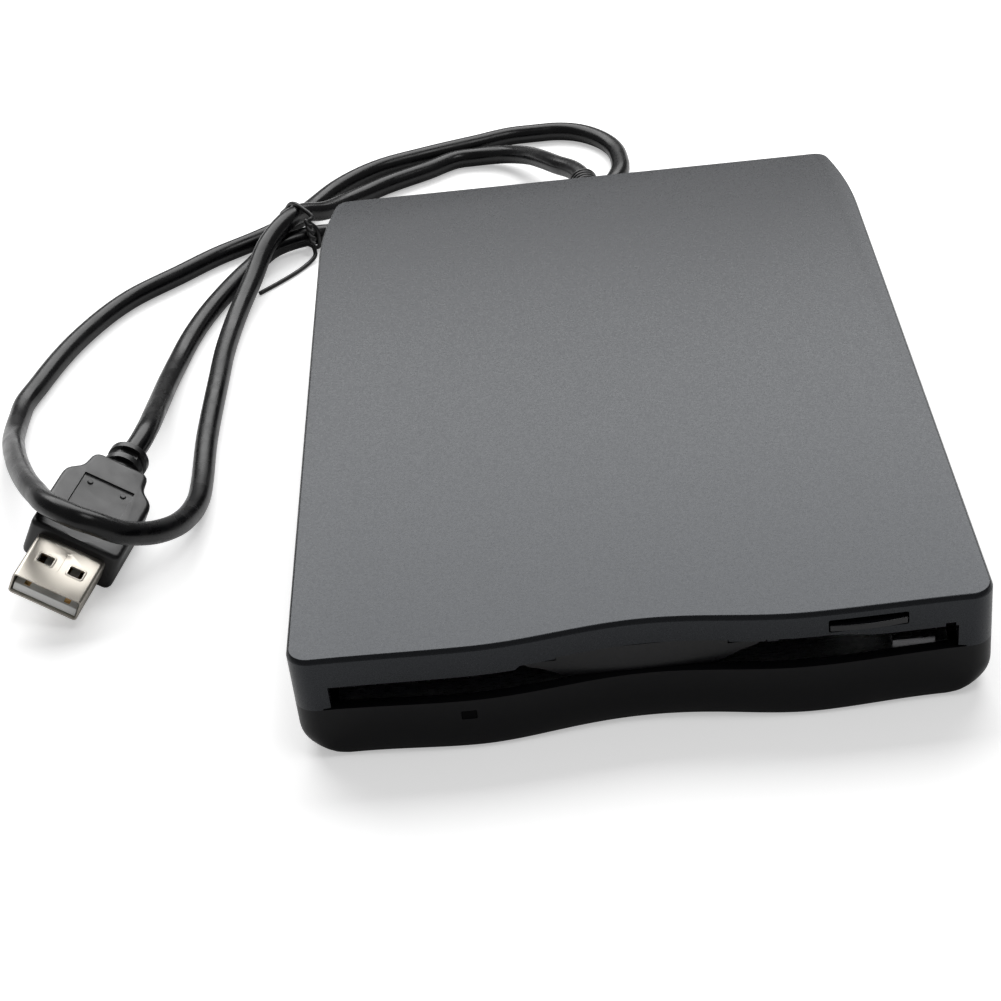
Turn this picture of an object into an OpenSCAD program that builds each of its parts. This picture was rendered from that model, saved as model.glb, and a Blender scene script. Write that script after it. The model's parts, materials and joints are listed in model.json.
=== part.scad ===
// External floppy disk drive for 90 mm disks, with its cord and plug.
// Millimetres. Front towards -Y, up is +Z, origin under the middle of the case.
// It rests on its feet, the cord and the plug at z = 0.

/* [Case] */
// width of the case across the sides
case_w = 103; // [103:0.5:110]
// depth of the case from the front bulges to the rear wall
case_d = 145.6; // [145.6:0.2:152]
// height of the case with its feet
case_h = 18.8; // [18.8:0.2:22]
// wall thickness of the two shells
wall = 1.8; // [1.6:0.1:1.9]
// radius of the upper edge
top_r = 1.0; // [0.6:0.1:1.4]
// how far the lower edge is rounded inwards
low_r = 2.8; // [2:0.1:2.9]
// how high the rounding of the lower edge reaches
low_rise = 5; // [4:0.2:6]
// how far each side draws in towards the rear
draw_in = 3; // [2:0.5:3.5]
// how deep the front wave is in the upper shell
wave_up = 2.4; // [1.6:0.2:2.4]
// how deep the front wave is in the lower shell
wave_low = 2.3; // [1.6:0.1:2.4]

/* [Slot and front] */
// half width of the disk slot
slot_half = 46; // [45.8:0.1:46.5]
// width of the eject button
button_w = 11.3; // [10.5:0.1:11.4]
// width of the indicator window
led_w = 2.3; // [1.8:0.1:2.6]
// thickness of the dust flap
flap_t = 1.0; // [0.8:0.1:1.1]

/* [Feet and screws] */
// radius of a foot
foot_r = 4; // [3:0.5:5]
// how far the feet stand out of the floor
foot_out = 0.5; // [0.4:0.1:0.6]
// radius of the screw shanks in the case
screw_r = 1.1; // [1.0:0.05:1.15]

/* [Drive] */
// thickness of the sheet floor of the drive frame
sheet = 0.8; // [0.7:0.05:0.85]
// radius of the rotor cup
rotor_r = 20.5; // [20:0.25:20.5]
// radius of the spindle shaft
shaft_r = 2; // [1.8:0.05:2]
// radius of the guide rod and of the lead screw
rod_r = 1.5; // [1.2:0.05:1.5]
// radius of the cage pins
pin_r = 0.7; // [0.6:0.02:0.72]
// turns of the ejector spring
spring_turns = 14; // [8:1:16]

/* [Cord and plug] */
// diameter of the cord
cord_d = 4; // [3.6:0.1:4]
// length of the strain relief behind the rear wall
relief_l = 17; // [15:0.5:17.5]
// width of the plug's metal shell
plug_w = 12; // [11.8:0.1:12]
// height of the plug's metal shell
plug_h = 4.5; // [4.3:0.1:4.5]
// thickness of the plug's grip
grip_t = 8; // [7.4:0.1:8]

/* [Hidden] */
$fn = 48;
eps = 0.01;
part_z = 9.5;
shell_z = foot_out;
floor_z = 2.1;
roof_z = case_h - 1.6;
hx = case_w / 2;
rear_y = case_d / 2;
front_y = -case_d / 2;
// the mechanism keeps its distance to the front, the rear pieces to the rear
my = front_y + 72.8;
ry = rear_y - 72.8;
stretch = ry - my;
spin_y = -21 + 0.6 * stretch;
// widths inside the case, each from the one around it and a clearance
side_gap = 1.8;
drive_half = hx - wall - side_gap;
slide_half = drive_half - 1.2;
cage_half = drive_half - 2.1;
post_x = drive_half - 3.9;
lever_x = drive_half - 7.9;
spring_x = drive_half - 8.4;
boss_x = hx - 11.5;
board_x = boss_x - 4;
end_y = front_y + 1.1;
corner_r = 3.5;
back_r = 3;
low_front = 0.2;
low_dip = 0.6;
low_corner = 4;
draw_l = 22;
black = [0.05, 0.05, 0.06];
grey = [0.06, 0.06, 0.07];
dark = [0.13, 0.12, 0.16];
steel = [0.72, 0.73, 0.75];
brass = [0.8, 0.66, 0.36];
green = [0.1, 0.32, 0.2];
cream = [0.9, 0.88, 0.82];

// front edge of a shell at x: c in the middle, b at the bulges, e at the ends
function wave(x, c, b, e, r = corner_r) = let (a = abs(x))
  a < 25 ? b + (c - b) * (1 + cos(180 * a / 25)) / 2
  : let (t = min(1, (a - 25) / (hx - r - 25))) b + (e - b) * t * t * (3 - 2 * t);
ub = front_y + 0.6;
uc = ub + wave_up;
lb = front_y;
lc = lb + wave_low;

// half outline of the sides and the rear, from the front corner to the middle
ys = rear_y - draw_l;
th0 = atan(2 * draw_in * (draw_l - back_r) / (draw_l * draw_l));
ya0 = rear_y - back_r + back_r * sin(th0);
th = atan(2 * draw_in * (ya0 - ys) / (draw_l * draw_l));
ya = rear_y - back_r + back_r * sin(th);
function side_x(y) = hx - draw_in * pow(max(0, y - ys) / draw_l, 2);
xa = side_x(ya);
function right_half(r) = concat(
  [for (a = [-90:18:0]) [hx - r + r * cos(a), end_y + r + r * sin(a)]],
  [for (i = [0:6]) let (y = ys + (ya - ys) * i / 7) [side_x(y), y]],
  [for (i = [0:5]) let (a = th + (90 - th) * i / 5)
    [xa - back_r * cos(th) + back_r * cos(a), rear_y - back_r + back_r * sin(a)]]);
function outline(c, b, r = corner_r) = let (h = right_half(r)) concat(
  [for (i = [-15:15]) let (x = i * (hx - r) / 16) [x, wave(x, c, b, end_y, r)]],
  h, [for (i = [len(h) - 1:-1:0]) [-h[i][0], h[i][1]]]);
function unit(v) = v / norm(v);
// moved inwards by d, and by the share f of it where the outline faces the front
function inset(p, d, f = 1) = let (n = len(p)) [for (i = [0:n - 1])
  let (t = unit(unit(p[(i + 1) % n] - p[i]) + unit(p[i] - p[(i + n - 1) % n])))
  p[i] - d * (1 - (1 - f) * pow(max(0, t[0]), 6)) * [t[1], -t[0]]];
// ring of the lower edge: s runs from 1 at the bottom to 0 where the wall is upright
function low_ring(s) = inset(outline(lc + low_dip * s, lb, corner_r + low_corner * s), low_r * s, low_front);

// closed body through equal rings of points
module loft(rings) {
  n = len(rings[0]);
  m = len(rings);
  pts = [for (r = rings) each r];
  polyhedron(pts, concat(
    [[for (i = [0:n - 1]) i]],
    [for (k = [0:m - 2], i = [0:n - 1])
      [(k + 1) * n + i, (k + 1) * n + (i + 1) % n, k * n + (i + 1) % n, k * n + i]],
    [[for (i = [n - 1:-1:0]) (m - 1) * n + i]]));
}
function lift(p, z) = [for (q = p) [q[0], q[1], z]];

// tube along a route of points: rings keep their twist small
function dirs(p) = let (n = len(p)) [for (i = [0:n - 1])
  i == 0 ? unit(p[1] - p[0]) : i == n - 1 ? unit(p[n - 1] - p[n - 2])
  : unit(unit(p[i + 1] - p[i]) + unit(p[i] - p[i - 1]))];
function carry(d, i, v) = let (w = unit(v - (v * d[i]) * d[i]))
  i == len(d) - 1 ? [w] : concat([w], carry(d, i + 1, w));
module sweep(p, r, sides, d0 = [0, 0, 0], d1 = [0, 0, 0]) {
  n = len(p);
  dd = dirs(p);
  d = [for (i = [0:n - 1]) i == 0 && norm(d0) > 0 ? unit(d0) : i == n - 1 && norm(d1) > 0 ? unit(d1) : dd[i]];
  u = carry(d, 0, abs(d[0][2]) > 0.9 ? [1, 0, 0] : [0, 0, 1]);
  loft([for (i = [0:n - 1]) [for (k = [0:sides - 1])
    let (a = 360 * k / sides, w = cross(d[i], u[i])) p[i] + r * (cos(a) * u[i] + sin(a) * w)]]);
}

module box(x0, x1, y0, y1, z0, z1) {
  translate([x0, y0, z0]) cube([x1 - x0, y1 - y0, z1 - z0]);
}
module rodz(x, y, z0, z1, r) {
  translate([x, y, z0]) cylinder(h = z1 - z0, r = r);
}
module rodx(x0, x1, y, z, r) {
  translate([x0, y, z]) rotate([0, 90, 0]) cylinder(h = x1 - x0, r = r);
}
module rody(x, y0, y1, z, r) {
  translate([x, y0, z]) rotate([-90, 0, 0]) cylinder(h = y1 - y0, r = r);
}
module ring(x, y, z0, z1, r0, r1) {
  difference() {
    rodz(x, y, z0, z1, r1);
    rodz(x, y, z0 - 1, z1 + 1, r0);
  }
}
module mech() {
  translate([0, my, 0]) children();
}
module rear() {
  translate([0, ry, 0]) children();
}
module mirror2() {
  children();
  mirror([1, 0, 0]) children();
}

// ---- case ----
// front view of the slot: higher over the flap and under the button, with a notch at its right end,
// and with its top at b in front of the flap's springs
function slot_pts(b) = [[-slot_half - 1.2, part_z - 1], [slot_half + 1.2, part_z - 1], [slot_half + 1.2, 9.7],
  [slot_half, 9.9], [slot_half, 13.6], [slot_half - 0.4, 13.6], [slot_half - 0.4, 14.2],
  [slot_half - 1.9, 14.2], [slot_half - 1.9, 13.6], [36.5, 13.6], [33, 13.8], [30.5, 14.2], [27.5, 14.5],
  [18, 14.5], [17.9, b], [12.9, b], [12.8, 14.5], [-12.8, 14.5], [-12.9, b], [-17.9, b],
  [-18.6, 13.6], [-slot_half, 13.6], [-slot_half, 9.9], [-slot_half - 1.2, 9.7]];
boss_y = 65.5;
button_x = 32.9;
led_x = -26;
relief_x = 3;

module top_cover() color(grey) {
  o = outline(uc, ub);
  difference() {
    loft(concat([lift(o, part_z)],
      [for (a = [0:22.5:90]) lift(inset(o, top_r * (1 - cos(a))), case_h - top_r + top_r * sin(a))]));
    translate([0, 0, part_z - 1]) linear_extrude(roof_z - part_z + 1) polygon(inset(o, wall));
    translate([0, front_y + 5, 0]) rotate([90, 0, 0]) linear_extrude(2.3) polygon(slot_pts(14.48));
    translate([0, front_y + 2.75, 0]) rotate([90, 0, 0]) linear_extrude(5.75) polygon(slot_pts(14));
    box(button_x - button_w / 2 - 0.2, button_x + button_w / 2 + 0.2, front_y - 1, front_y + 5, 14.95, 17.2);
    rody(relief_x, rear_y - 4, rear_y + 1, part_z, 2.6);
  }
  mech() mirror2() difference() {
    box(18.3, 20, -70.4, -68.3, 13, roof_z + 0.3);
    rodx(18, 21, -69.1, 13.7, 0.46);
  }
  rear() mirror2() difference() {
    rodz(boss_x, boss_y, 9.0, roof_z + 0.3, 2.8);
    rodz(boss_x, boss_y, 8, 14, screw_r + 0.05);
  }
  mech() mirror2() {
    box(hx - wall - 1.1, hx - wall - 0.1, 20, 30, 8, roof_z + 0.3);
    box(hx - wall - 0.6, hx - wall + 0.4, 20, 30, part_z + 0.1, roof_z + 0.3);
    box(hx - wall - 1.1, hx - wall - 0.1, -50, -40, 8, roof_z + 0.3);
    box(hx - wall - 0.6, hx - wall + 0.4, -50, -40, part_z + 0.1, roof_z + 0.3);
  }
}

module bottom_case() color(dark) {
  o = outline(lc, lb);
  difference() {
    union() {
      difference() {
        loft(concat(
          [for (a = [0:22.5:90]) lift(low_ring(1 - sin(a)), shell_z + low_rise * (1 - cos(a)))],
          [lift(o, part_z)]));
        translate([0, 0, floor_z]) linear_extrude(10) polygon(inset(o, wall));
      }
      rear() mirror2() rodz(boss_x, boss_y, floor_z - 0.3, 9.0, 3.2);
      mech() mirror2() rodz(post_x, -40, floor_z - 0.3, 3.0, 2.2);
      rear() {
        mirror2() rodz(post_x, 44, floor_z - 0.3, 3.0, 2.2);
        box(-28, -26, 57, 68, floor_z - 0.3, 4.2);
        box(12, 14, 57, 68, floor_z - 0.3, 4.2);
        box(board_x - 4, board_x - 2, 57, 60.5, floor_z - 0.3, 4.2);
      }
    }
    box(led_x - led_w / 2 - 0.03, led_x + led_w / 2 + 0.03, front_y - 1, front_y + 5, 6.02, 7.58);
    rody(relief_x, rear_y - 4, rear_y + 1, part_z, 2.6);
    rear() mirror2() {
      rodz(boss_x, boss_y, 0, 10, screw_r + 0.15);
      rodz(boss_x, boss_y, 0, 2.6, 2.15);
    }
    mech() mirror2() rodz(post_x, -40, 1.2, 4, 0.65);
    rear() mirror2() rodz(post_x, 44, 1.2, 4, 0.65);
    mirror2() {
      rodz(hx - 10.5, rear_y - 14.8, 0, 1.3, foot_r + 0.1);
      rodz(hx - 10.5, front_y + 14.8, 0, 1.3, foot_r + 0.1);
    }
  }
}

module rubber_feet() color(black) mirror2() {
  rodz(hx - 10.5, rear_y - 14.8, 0, 1.3, foot_r);
  rodz(hx - 10.5, front_y + 14.8, 0, 1.3, foot_r);
}

module case_screws() color(steel) rear() mirror2() difference() {
  union() {
    rodz(boss_x, boss_y, 1.3, 2.6, 1.9);
    rodz(boss_x, boss_y, 2.5, 13.5, screw_r);
  }
  box(boss_x - 1.3, boss_x + 1.3, boss_y - 0.2, boss_y + 0.2, 1, 1.8);
  box(boss_x - 0.2, boss_x + 0.2, boss_y - 1.3, boss_y + 1.3, 1, 1.8);
}

module led_window() color(cream) {
  box(led_x - led_w / 2, led_x + led_w / 2, front_y + 0.05, front_y + 5, 6.05, 7.55);
}

// ---- flap and button ----
flap_pts = [[0, 9.6], [10.4, 9.6], [11.2, 9.75], [11.9, 10], [12.7, 10.4], [13.6, 10.9], [14.5, 11.35],
  [15.3, 11.65], [16.2, 11.9], [17, 12.25], [17.6, 12.85], [18, 13.7], [16.4, 13.7], [16.4, 12.8],
  [12.6, 12.8], [12.6, 14.25], [0, 14.25]];
module dust_flap() color(grey) mech() {
  mirror2() {
    translate([0, -69.1 + flap_t / 2, 0]) rotate([90, 0, 0]) linear_extrude(flap_t) polygon(flap_pts);
    rodx(0, 12.6, -69.1, 13.7, 0.5);
    rodx(16.4, 18, -69.1, 13.7, 0.5);
    rodx(12.5, 19.2, -69.1, 13.7, 0.3);
    rodx(17.5, 19.2, -69.1, 13.7, 0.4);
  }
}

module flap_spring() color(steel) mech() mirror2() {
  n = 36;
  sweep([for (i = [0:n]) let (a = 360 * 4 * i / n)
    [13 + 2.8 * i / n, -69.1 + 0.58 * cos(a), 13.7 + 0.58 * sin(a)]], 0.09, 5);
}

module eject_button() color(dark) mech() {
  linear_extrude_z(15.2, 16.25, concat(
    [for (i = [0:8]) let (x = button_x - button_w / 2 + button_w * i / 8)
      [x, wave(x, -69.8, -72.2, -71.7) - 0.1 - 0.4 * sin(22.5 * i)]],
    [[button_x + button_w / 2, -69.5], [button_x + 3.5, -69.5], [button_x + 3.5, -60],
     [button_x - 3.5, -60], [button_x - 3.5, -69.5], [button_x - button_w / 2, -69.5]]));
  box(button_x - 3.5, button_x + 3.5, -64.8, -60, 14.85, 15.3);
}
module linear_extrude_z(z0, z1, p) {
  translate([0, 0, z0]) linear_extrude(z1 - z0) polygon(p);
}

module eject_slider() color(steel) mech() {
  difference() {
    union() {
      box(-slide_half, slide_half, -58, 24 + stretch, 14.35, 14.85);
      box(29.5, 36.3, -65, -57, 14.35, 14.85);
      translate([spring_x, stretch, 0]) {
        box(-2, 1.8, 23, 27, 14.35, 14.85);
        box(-2, 1.8, 26.5, 27, 4.8, 14.85);
      }
      mirror2() box(slide_half - 0.5, slide_half, -58, 24 + stretch, 8.2, 14.85);
    }
    box(10.7 - slide_half, slide_half - 10.7, -46, 30 + stretch, 14, 15);
    mirror2() for (y = [-50, 12 + stretch]) ramp_cut(y);
    rody(spring_x, 26 + stretch, 28 + stretch, 5.4, 0.4);
  }
}
// an inclined slot in the flange: the pin sits at its upper end at rest
module ramp_cut(y) {
  rodx(slide_half - 0.8, slide_half + 0.3, y, 11.5, pin_r + 0.13);
  rodx(slide_half - 0.8, slide_half + 0.3, y + 4.6, 9.46, pin_r + 0.13);
  translate([slide_half - 0.8, y, 11.5]) rotate([-23.96, 0, 0])
    translate([0, 0, -pin_r - 0.13]) cube([1.1, 5.03, 2 * pin_r + 0.26]);
}

module ejector_spring() color(steel) rear() {
  n = spring_turns * 10;
  sweep(concat(
    [[spring_x, 1.6, 5.4 + 1.0]],
    [for (i = [0:n]) let (a = 90 + 360 * spring_turns * i / n)
      [spring_x + 1.0 * cos(a), 3 + 22 * i / n, 5.4 + 1.0 * sin(a)]],
    [[spring_x, 26.1, 5.4 + 0.9]]), 0.2, 6);
}

// ---- disk cage ----
module disk_cage() color(steel) mech() {
  difference() {
    union() {
      box(-cage_half, cage_half, -60, 26 + stretch, 13.55, 13.95);
      mirror2() {
        box(cage_half - 0.5, cage_half, -60, 26 + stretch, 9.25, 13.95);
        box(cage_half - 3.8, cage_half, -60, 26 + stretch, 9.25, 9.65);
      }
    }
    translate([0, stretch, 0]) {
      box(-13, 13, -2, 27, 13, 14.5);
      box(spring_x - 3, spring_x + 4, 20.5, 27, 13, 14.5);
    }
    for (x = [-24, 24]) rodz(x, spin_y - 9, 13, 14.5, 6);
  }
  mirror2() for (y = [-50, 12 + stretch]) rodx(cage_half - 0.3, cage_half + 2.5, y, 11.5, pin_r);
}

module shutter_lever() color(cream) rear() translate([-lever_x, 34, 0]) rotate([0, 0, -80]) {
  difference() {
    union() {
      box(0, 30, -2, 2, 10.2, 11.2);
      rodz(0, 0, 10.2, 11.2, 3);
      rodz(30, 0, 10.2, 11.2, 2);
    }
    rodz(0, 0, 9, 12, 1.56);
  }
  rodz(30, 0, 9.8, 11.25, 1.2);
}

module lever_spring() color(steel) rear() {
  n = 48;
  sweep(concat([for (i = [0:n]) let (a = 360 * 4 * i / n)
    [1.95 * cos(a) - lever_x, 34 + 1.95 * sin(a), 7 + 2.6 * i / n]], [[4 - lever_x, 34, 9.6]]), 0.2, 6);
}

// ---- drive frame ----
module drive_frame() color(steel) mech() {
  t = sheet;
  lip_half = drive_half - 2.9;
  difference() {
    union() {
      box(-drive_half, drive_half, -66, 54 + stretch, 3.0, 3.0 + t);
      mirror2() box(drive_half - t, drive_half, -66, 54 + stretch, 3.0, 15.25);
      box(-drive_half, drive_half, -66, -66 + t, 3.0, 9.45);
      linear_extrude_z(9.05, 9.45, concat(
        [for (i = [-15:15]) let (x = lip_half * i / 15)
          [x, wave(x, wave_low - 72.8, -72.8, -71.7) + wall + 0.15]],
        [[lip_half, -65.3], [-lip_half, -65.3]]));
      box(lip_half - 8.2, lip_half - 2, -69.4, -66.5, 9.1, 10.05);
      translate([0, stretch, 0]) {
        for (y = [4, 46]) box(-17, -11, y, y + 1, 3.0, 8);
        box(11, 17, 5.5, 7, 3.0, 8);
        box(9.2, 18.8, 44.3, 44.9, 3.0, 9.4);
        rodz(-lever_x, 34, 3.0, 11.6, 1.5);
        rodz(-lever_x, 34, 3.0, 6.6, 2.6);
        box(spring_x - 1, spring_x + 1, 0.6, 1.6, 3.0, 7.4);
      }
    }
    mirror2() for (y = [-50, 12 + stretch]) {
      rodx(drive_half - 1.9, drive_half + 1.1, y, 11.5, pin_r + 0.08);
      rodx(drive_half - 1.9, drive_half + 1.1, y, 9.5, pin_r + 0.08);
      box(drive_half - 1.9, drive_half + 1.1, y - pin_r - 0.08, y + pin_r + 0.08, 9.5, 11.5);
    }
    box(-28.6, -23.4, -67, -65, 4.0, 8.2);
    rodz(0, spin_y, 2, 5, 4.04);
    translate([0, stretch, 0]) {
      box(-17.6, -10.4, 17, 45, 2, 5);
      box(9, 19, 45, 55, 2, 5);
      rody(-14, 3, 48, 5.7, rod_r + 0.03);
      rody(14, 5, 46, 5.7, rod_r + 0.04);
    }
    mirror2() for (y = [-40, 44 + stretch]) rodz(post_x, y, 2, 5, 0.7);
  }
}

module frame_screws() color(steel) mech() mirror2() for (y = [-40, 44 + stretch]) {
  rodz(post_x, y, 3.0 + sheet, 4.7, 1.3);
  rodz(post_x, y, 1.6, 4.0, 0.6);
}

module drive_cover() color(steel) mech() difference() {
  box(-drive_half, drive_half, -54, 54 + stretch, 15.25, 15.65);
  box(-20, 20, spin_y - 19, spin_y + 19, 15, 16);
  box(-4.6, 4.6, -1 + stretch, 30 + stretch, 15, 16);
}

// ---- spindle ----
module motor_board() color(green) mech() difference() {
  rodz(0, spin_y, 3.0 + sheet, 4.4, rotor_r + 1);
  rodz(0, spin_y, 3, 5, 4.06);
}
module spindle_bearing() color(brass) mech() ring(0, spin_y, 2.6, 4.7, shaft_r + 0.04, 4);
module motor_stator() color(steel) mech() translate([0, spin_y, 0]) {
  ring(0, 0, 4.4, 5.5, 5, 8);
  for (i = [0:8]) rotate([0, 0, 40 * i]) {
    box(7.8, rotor_r - 5.0, -0.9, 0.9, 4.9, 5.5);
    box(rotor_r - 5.1, rotor_r - 3.3, -3.2, 3.2, 4.9, 5.5);
  }
}
module stator_coils() color([0.72, 0.4, 0.2]) mech() translate([0, spin_y, 0])
  for (i = [0:8]) rotate([0, 0, 40 * i]) difference() {
    box(9.2, rotor_r - 5.5, -1.9, 1.9, 4.55, 6.1);
    box(9, rotor_r - 5.3, -0.95, 0.95, 4.85, 5.55);
  }
module rotor_cup() color(steel) mech() difference() {
  rodz(0, spin_y, 4.9, 7.3, rotor_r);
  rodz(0, spin_y, 4, 6.5, rotor_r - 0.9);
  rodz(0, spin_y, 4, 8, shaft_r);
}
module rotor_magnet() color(black) mech()
  ring(0, spin_y, 5.0, 6.5, rotor_r - 2.7, rotor_r - 0.9);
module spindle_shaft() color(steel) mech() rodz(0, spin_y, 2.8, 9.3, shaft_r);
module hub_chuck() color(steel) mech() ring(0, spin_y, 7.3, 7.6, shaft_r, 12.5);
module drive_pin() color(steel) mech() rodz(8.4, spin_y + 5.4, 7.6, 8.9, 1);

// ---- heads ----
module head_carriage() color(steel) rear() difference() {
  union() {
    box(-5, 5, 15, 44, 4.6, 7.2);
    box(-14, -4, 36, 42, 4.8, 6.6);
    rody(-14, 34, 44, 5.7, 2.5);
    box(4, 12.2, 34, 37, 4.8, 6.6);
    box(-6, 6, 40, 44, 4.6, 10.2);
    mirror2() box(4, 6, 40, 44, 10, 14.2);
  }
  rody(-14, 33, 45, 5.7, rod_r + 0.04);
  rodx(-7, 7, 42, 12.4, 0.8);
}
module lower_head() color(cream) rear() box(-2.5, 2.5, 16.5, 20.5, 7.2, 9.3);
module upper_head_arm() color(steel) rear() difference() {
  union() {
    box(-3.8, 3.8, 15.5, 43, 14.3, 15.0);
    rodx(-3.8, 3.8, 42, 12.4, 1.8);
    box(-3.8, 3.8, 41, 43, 12.4, 15.0);
  }
  rodx(-5, 5, 42, 12.4, 0.75);
}
module upper_head() color(cream) rear() box(-2.5, 2.5, 16.5, 20.5, 13.6, 14.3);
module arm_hinge_pin() color(steel) rear() rodx(-6, 6, 42, 12.4, 0.74);
module guide_rod() color(steel) rear() rody(-14, 4, 47, 5.7, rod_r);
module lead_screw() color(steel) rear() difference() {
  rody(14, 5.9, 45.3, 5.7, rod_r);
  for (i = [0:9]) translate([14, 8.75 + 3.75 * i, 5.7]) rotate([-90, 0, 0])
    difference() {
      cylinder(h = 0.5, r = rod_r + 1);
      translate([0, 0, -1]) cylinder(h = 3, r = rod_r - 0.3);
    }
}
module stepper_motor() color(steel) rear() {
  difference() {
    rody(14, 45.5, 54, 5.7, 3.4);
    rody(14, 45, 47, 5.7, 1.7);
  }
  difference() {
    box(10, 18, 44.9, 45.5, 3.9, 9.3);
    rody(14, 44, 46, 5.7, 1.7);
  }
}

// ---- boards ----
module sensor_board() color(green) mech()
  box(1 - post_x, post_x - 1, -65, spin_y - 25, 3.0 + sheet, 4.6);
switch_at = [[post_x - 5, -61], [5 - post_x, -61], [post_x - 11, -61]];
module switch_bodies() color(black) mech() for (p = switch_at) difference() {
  box(p[0] - 2.2, p[0] + 2.2, p[1] - 2.2, p[1] + 2.2, 4.6, 6.9);
  rodz(p[0], p[1], 4.9, 8, 0.85);
}
module plunger(p) color(cream) mech() rodz(p[0], p[1], 6.3, 8.9, 0.8);
module write_plunger() plunger(switch_at[0]);
module density_plunger() plunger(switch_at[1]);
module disk_plunger() plunger(switch_at[2]);
module led() color([0.5, 0.9, 0.5]) mech() box(led_x - 1.2, led_x + 1.2, -67.2, -64, 4.6, 7.6);
module drive_board() color(green) rear() box(20, board_x + 0.5, 28, 53, 3.0 + sheet, 4.6);
module drive_chips() color(black) rear() {
  box(23, board_x - 3, 31, 41, 4.6, 5.8);
  box(board_x - 2, board_x, 43, 45, 4.6, 5.4);
}
module bridge_board() color(green) rear() box(-30, board_x, 56, 68.8, 4.2, 5.4);
module bridge_chips() color(black) rear() {
  box(-22, -12, 58, 67, 5.4, 6.8);
  box(-9, -5, 59, 65, 5.4, 6.4);
}
module ribbon_sockets() color(cream) rear() {
  box(20.5, board_x, 46.5, 50, 4.6, 6.8);
  box(20.5, board_x, 58, 61.5, 5.4, 7.6);
}
module ribbon_cable() color([0.75, 0.75, 0.78]) rear() translate([21, 0, 0]) rotate([90, 0, 90])
  linear_extrude(board_x - 21.5) polygon([[48, 6.8], [48, 8.6], [49, 9.9], [50.5, 10.4], [57.5, 10.4], [59, 9.9],
    [60, 8.8], [60, 7.6], [59.6, 7.6], [59.6, 8.7], [58.8, 9.5], [57.4, 10.0], [50.6, 10.0], [49.3, 9.5],
    [48.4, 8.5], [48.4, 6.8]]);
module cable_header() color(cream) rear() box(-1.5, 7.5, 62, 66, 5.4, 8.4);
module inner_wires() for (i = [0:3]) color([0.7 - 0.2 * i, 0.2 + 0.15 * i, 0.2]) {
  x = relief_x - 3 + 2 * i;
  sweep([[x, 66 + ry, 7], [x, 67.2 + ry, 7.4], [relief_x - 1.2 + 0.8 * i, 68.6 + ry, 9.2],
    [relief_x - 1.2 + 0.8 * i, 69.4 + ry, 9.5]], 0.35, 6, [0, 1, 0], [0, 1, 0]);
}

// ---- cord ----
lean = 8;
module strain_relief() color(black) {
  rear() {
    difference() {
      union() {
        box(relief_x - 4.5, relief_x + 4.5, 69.4, 70.9, 6.4, 12.6);
        rody(relief_x, 70.5, 73.6, part_z, 2.5);
        rody(relief_x, 72.85, 74.2, part_z, 3.6);
      }
    }
    translate([relief_x, 72.8, part_z]) rotate([0, 0, lean]) rotate([-90, 0, 0]) rotate_extrude()
      polygon(concat([[0, 1]], [for (i = [0:13]) let (s = 1.2 + (relief_l - 1.2) * i / 14)
        each [[3.5 - 0.6 * i / 14, s], [3.5 - 0.6 * i / 14, s + (relief_l - 1.2) / 14 * 0.62],
          [2.85 - 0.35 * i / 14, s + (relief_l - 1.2) / 14 * 0.62],
          [2.85 - 0.35 * i / 14, s + (relief_l - 1.2) / 14]]],
        [[0, relief_l]]));
  }
}

// route of the cord's centre line, from the strain relief to the plug
relief_end = [relief_x - relief_l * sin(lean), rear_y + relief_l * cos(lean), part_z];
plug_at = [-94.6, -32.9, 6.58];
function turn(v) = let (a = -28, b = 2, c = -105.2,
  p = [v[0], v[1] * cos(a) - v[2] * sin(a), v[1] * sin(a) + v[2] * cos(a)],
  q = [p[0] * cos(b) + p[2] * sin(b), p[1], -p[0] * sin(b) + p[2] * cos(b)])
  [q[0] * cos(c) - q[1] * sin(c), q[0] * sin(c) + q[1] * cos(c), q[2]];
plug_end = plug_at + turn([-38.4, 0, 0]);
route = [[0, 93, 9.4], [-1.5, 96.5, 8.9], [-4, 100.5, 8.1], [-7, 106.5, 6.8], [-10.5, 113.5, 4.8],
  [-16, 119.3, 2.8], [-24.5, 121, 2], [-33, 116.5, 2], [-43.5, 110.5, 2], [-50, 104.5, 2.6],
  [-54.5, 98, 4.3], [-59, 93.3, 6.7], [-61.5, 89, 7.4], [-65, 82.3, 6.4], [-68, 72, 3.8], [-70.5, 61, 2.4],
  [-72, 49, 2], [-72.5, 37, 2], [-73, 17, 2.2], [-72.5, -2.5, 3], [-73.5, -11, 4.6], [-75.3, -17.4, 7],
  [-78.7, -23.4, 10.5], [-81.9, -26.6, 13.6], [-86.3, -27.2, 16.7], [-91.7, -24.3, 18], [-96.6, -15.9, 15.9],
  [-102.3, -1.9, 11.6], [-106.6, 12.3, 7.2], [-108.9, 22.2, 3.6], [-109.5, 33.5, 2.1], [-107.5, 42, 2],
  [-101.5, 59, 2], [-93.5, 72, 2], [-84, 80.5, 2], [-75.5, 87.8, 2], [-66.5, 92.7, 2.6],
  [-61, 97.3, 2.8], [-57, 105, 2.2], [-53, 111.7, 2], [-44, 120, 2], [-33, 124.3, 2], [-22, 127.5, 2],
  [-12, 130, 2], [-5.5, 130, 2], [0.5, 128.5, 2], [6, 123.5, 2], [9, 117, 2], [9.5, 110, 2],
  [7.5, 102.5, 2], [2, 95.5, 2], [-6, 91, 2], [-18, 88.5, 2], [-31, 87.5, 2], [-43, 88.7, 2],
  [-54, 90.6, 2.7], [-58.7, 89.8, 2.8], [-64.5, 87, 2.6], [-69.5, 79.5, 2], [-74, 70, 2],
  [-77.5, 60.5, 2], [-80.5, 48, 2], [-81.8, 37, 3], [-82.2, 26, 5], [-82.3, 17, 7], [-83, 10, 7.9]];
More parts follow.
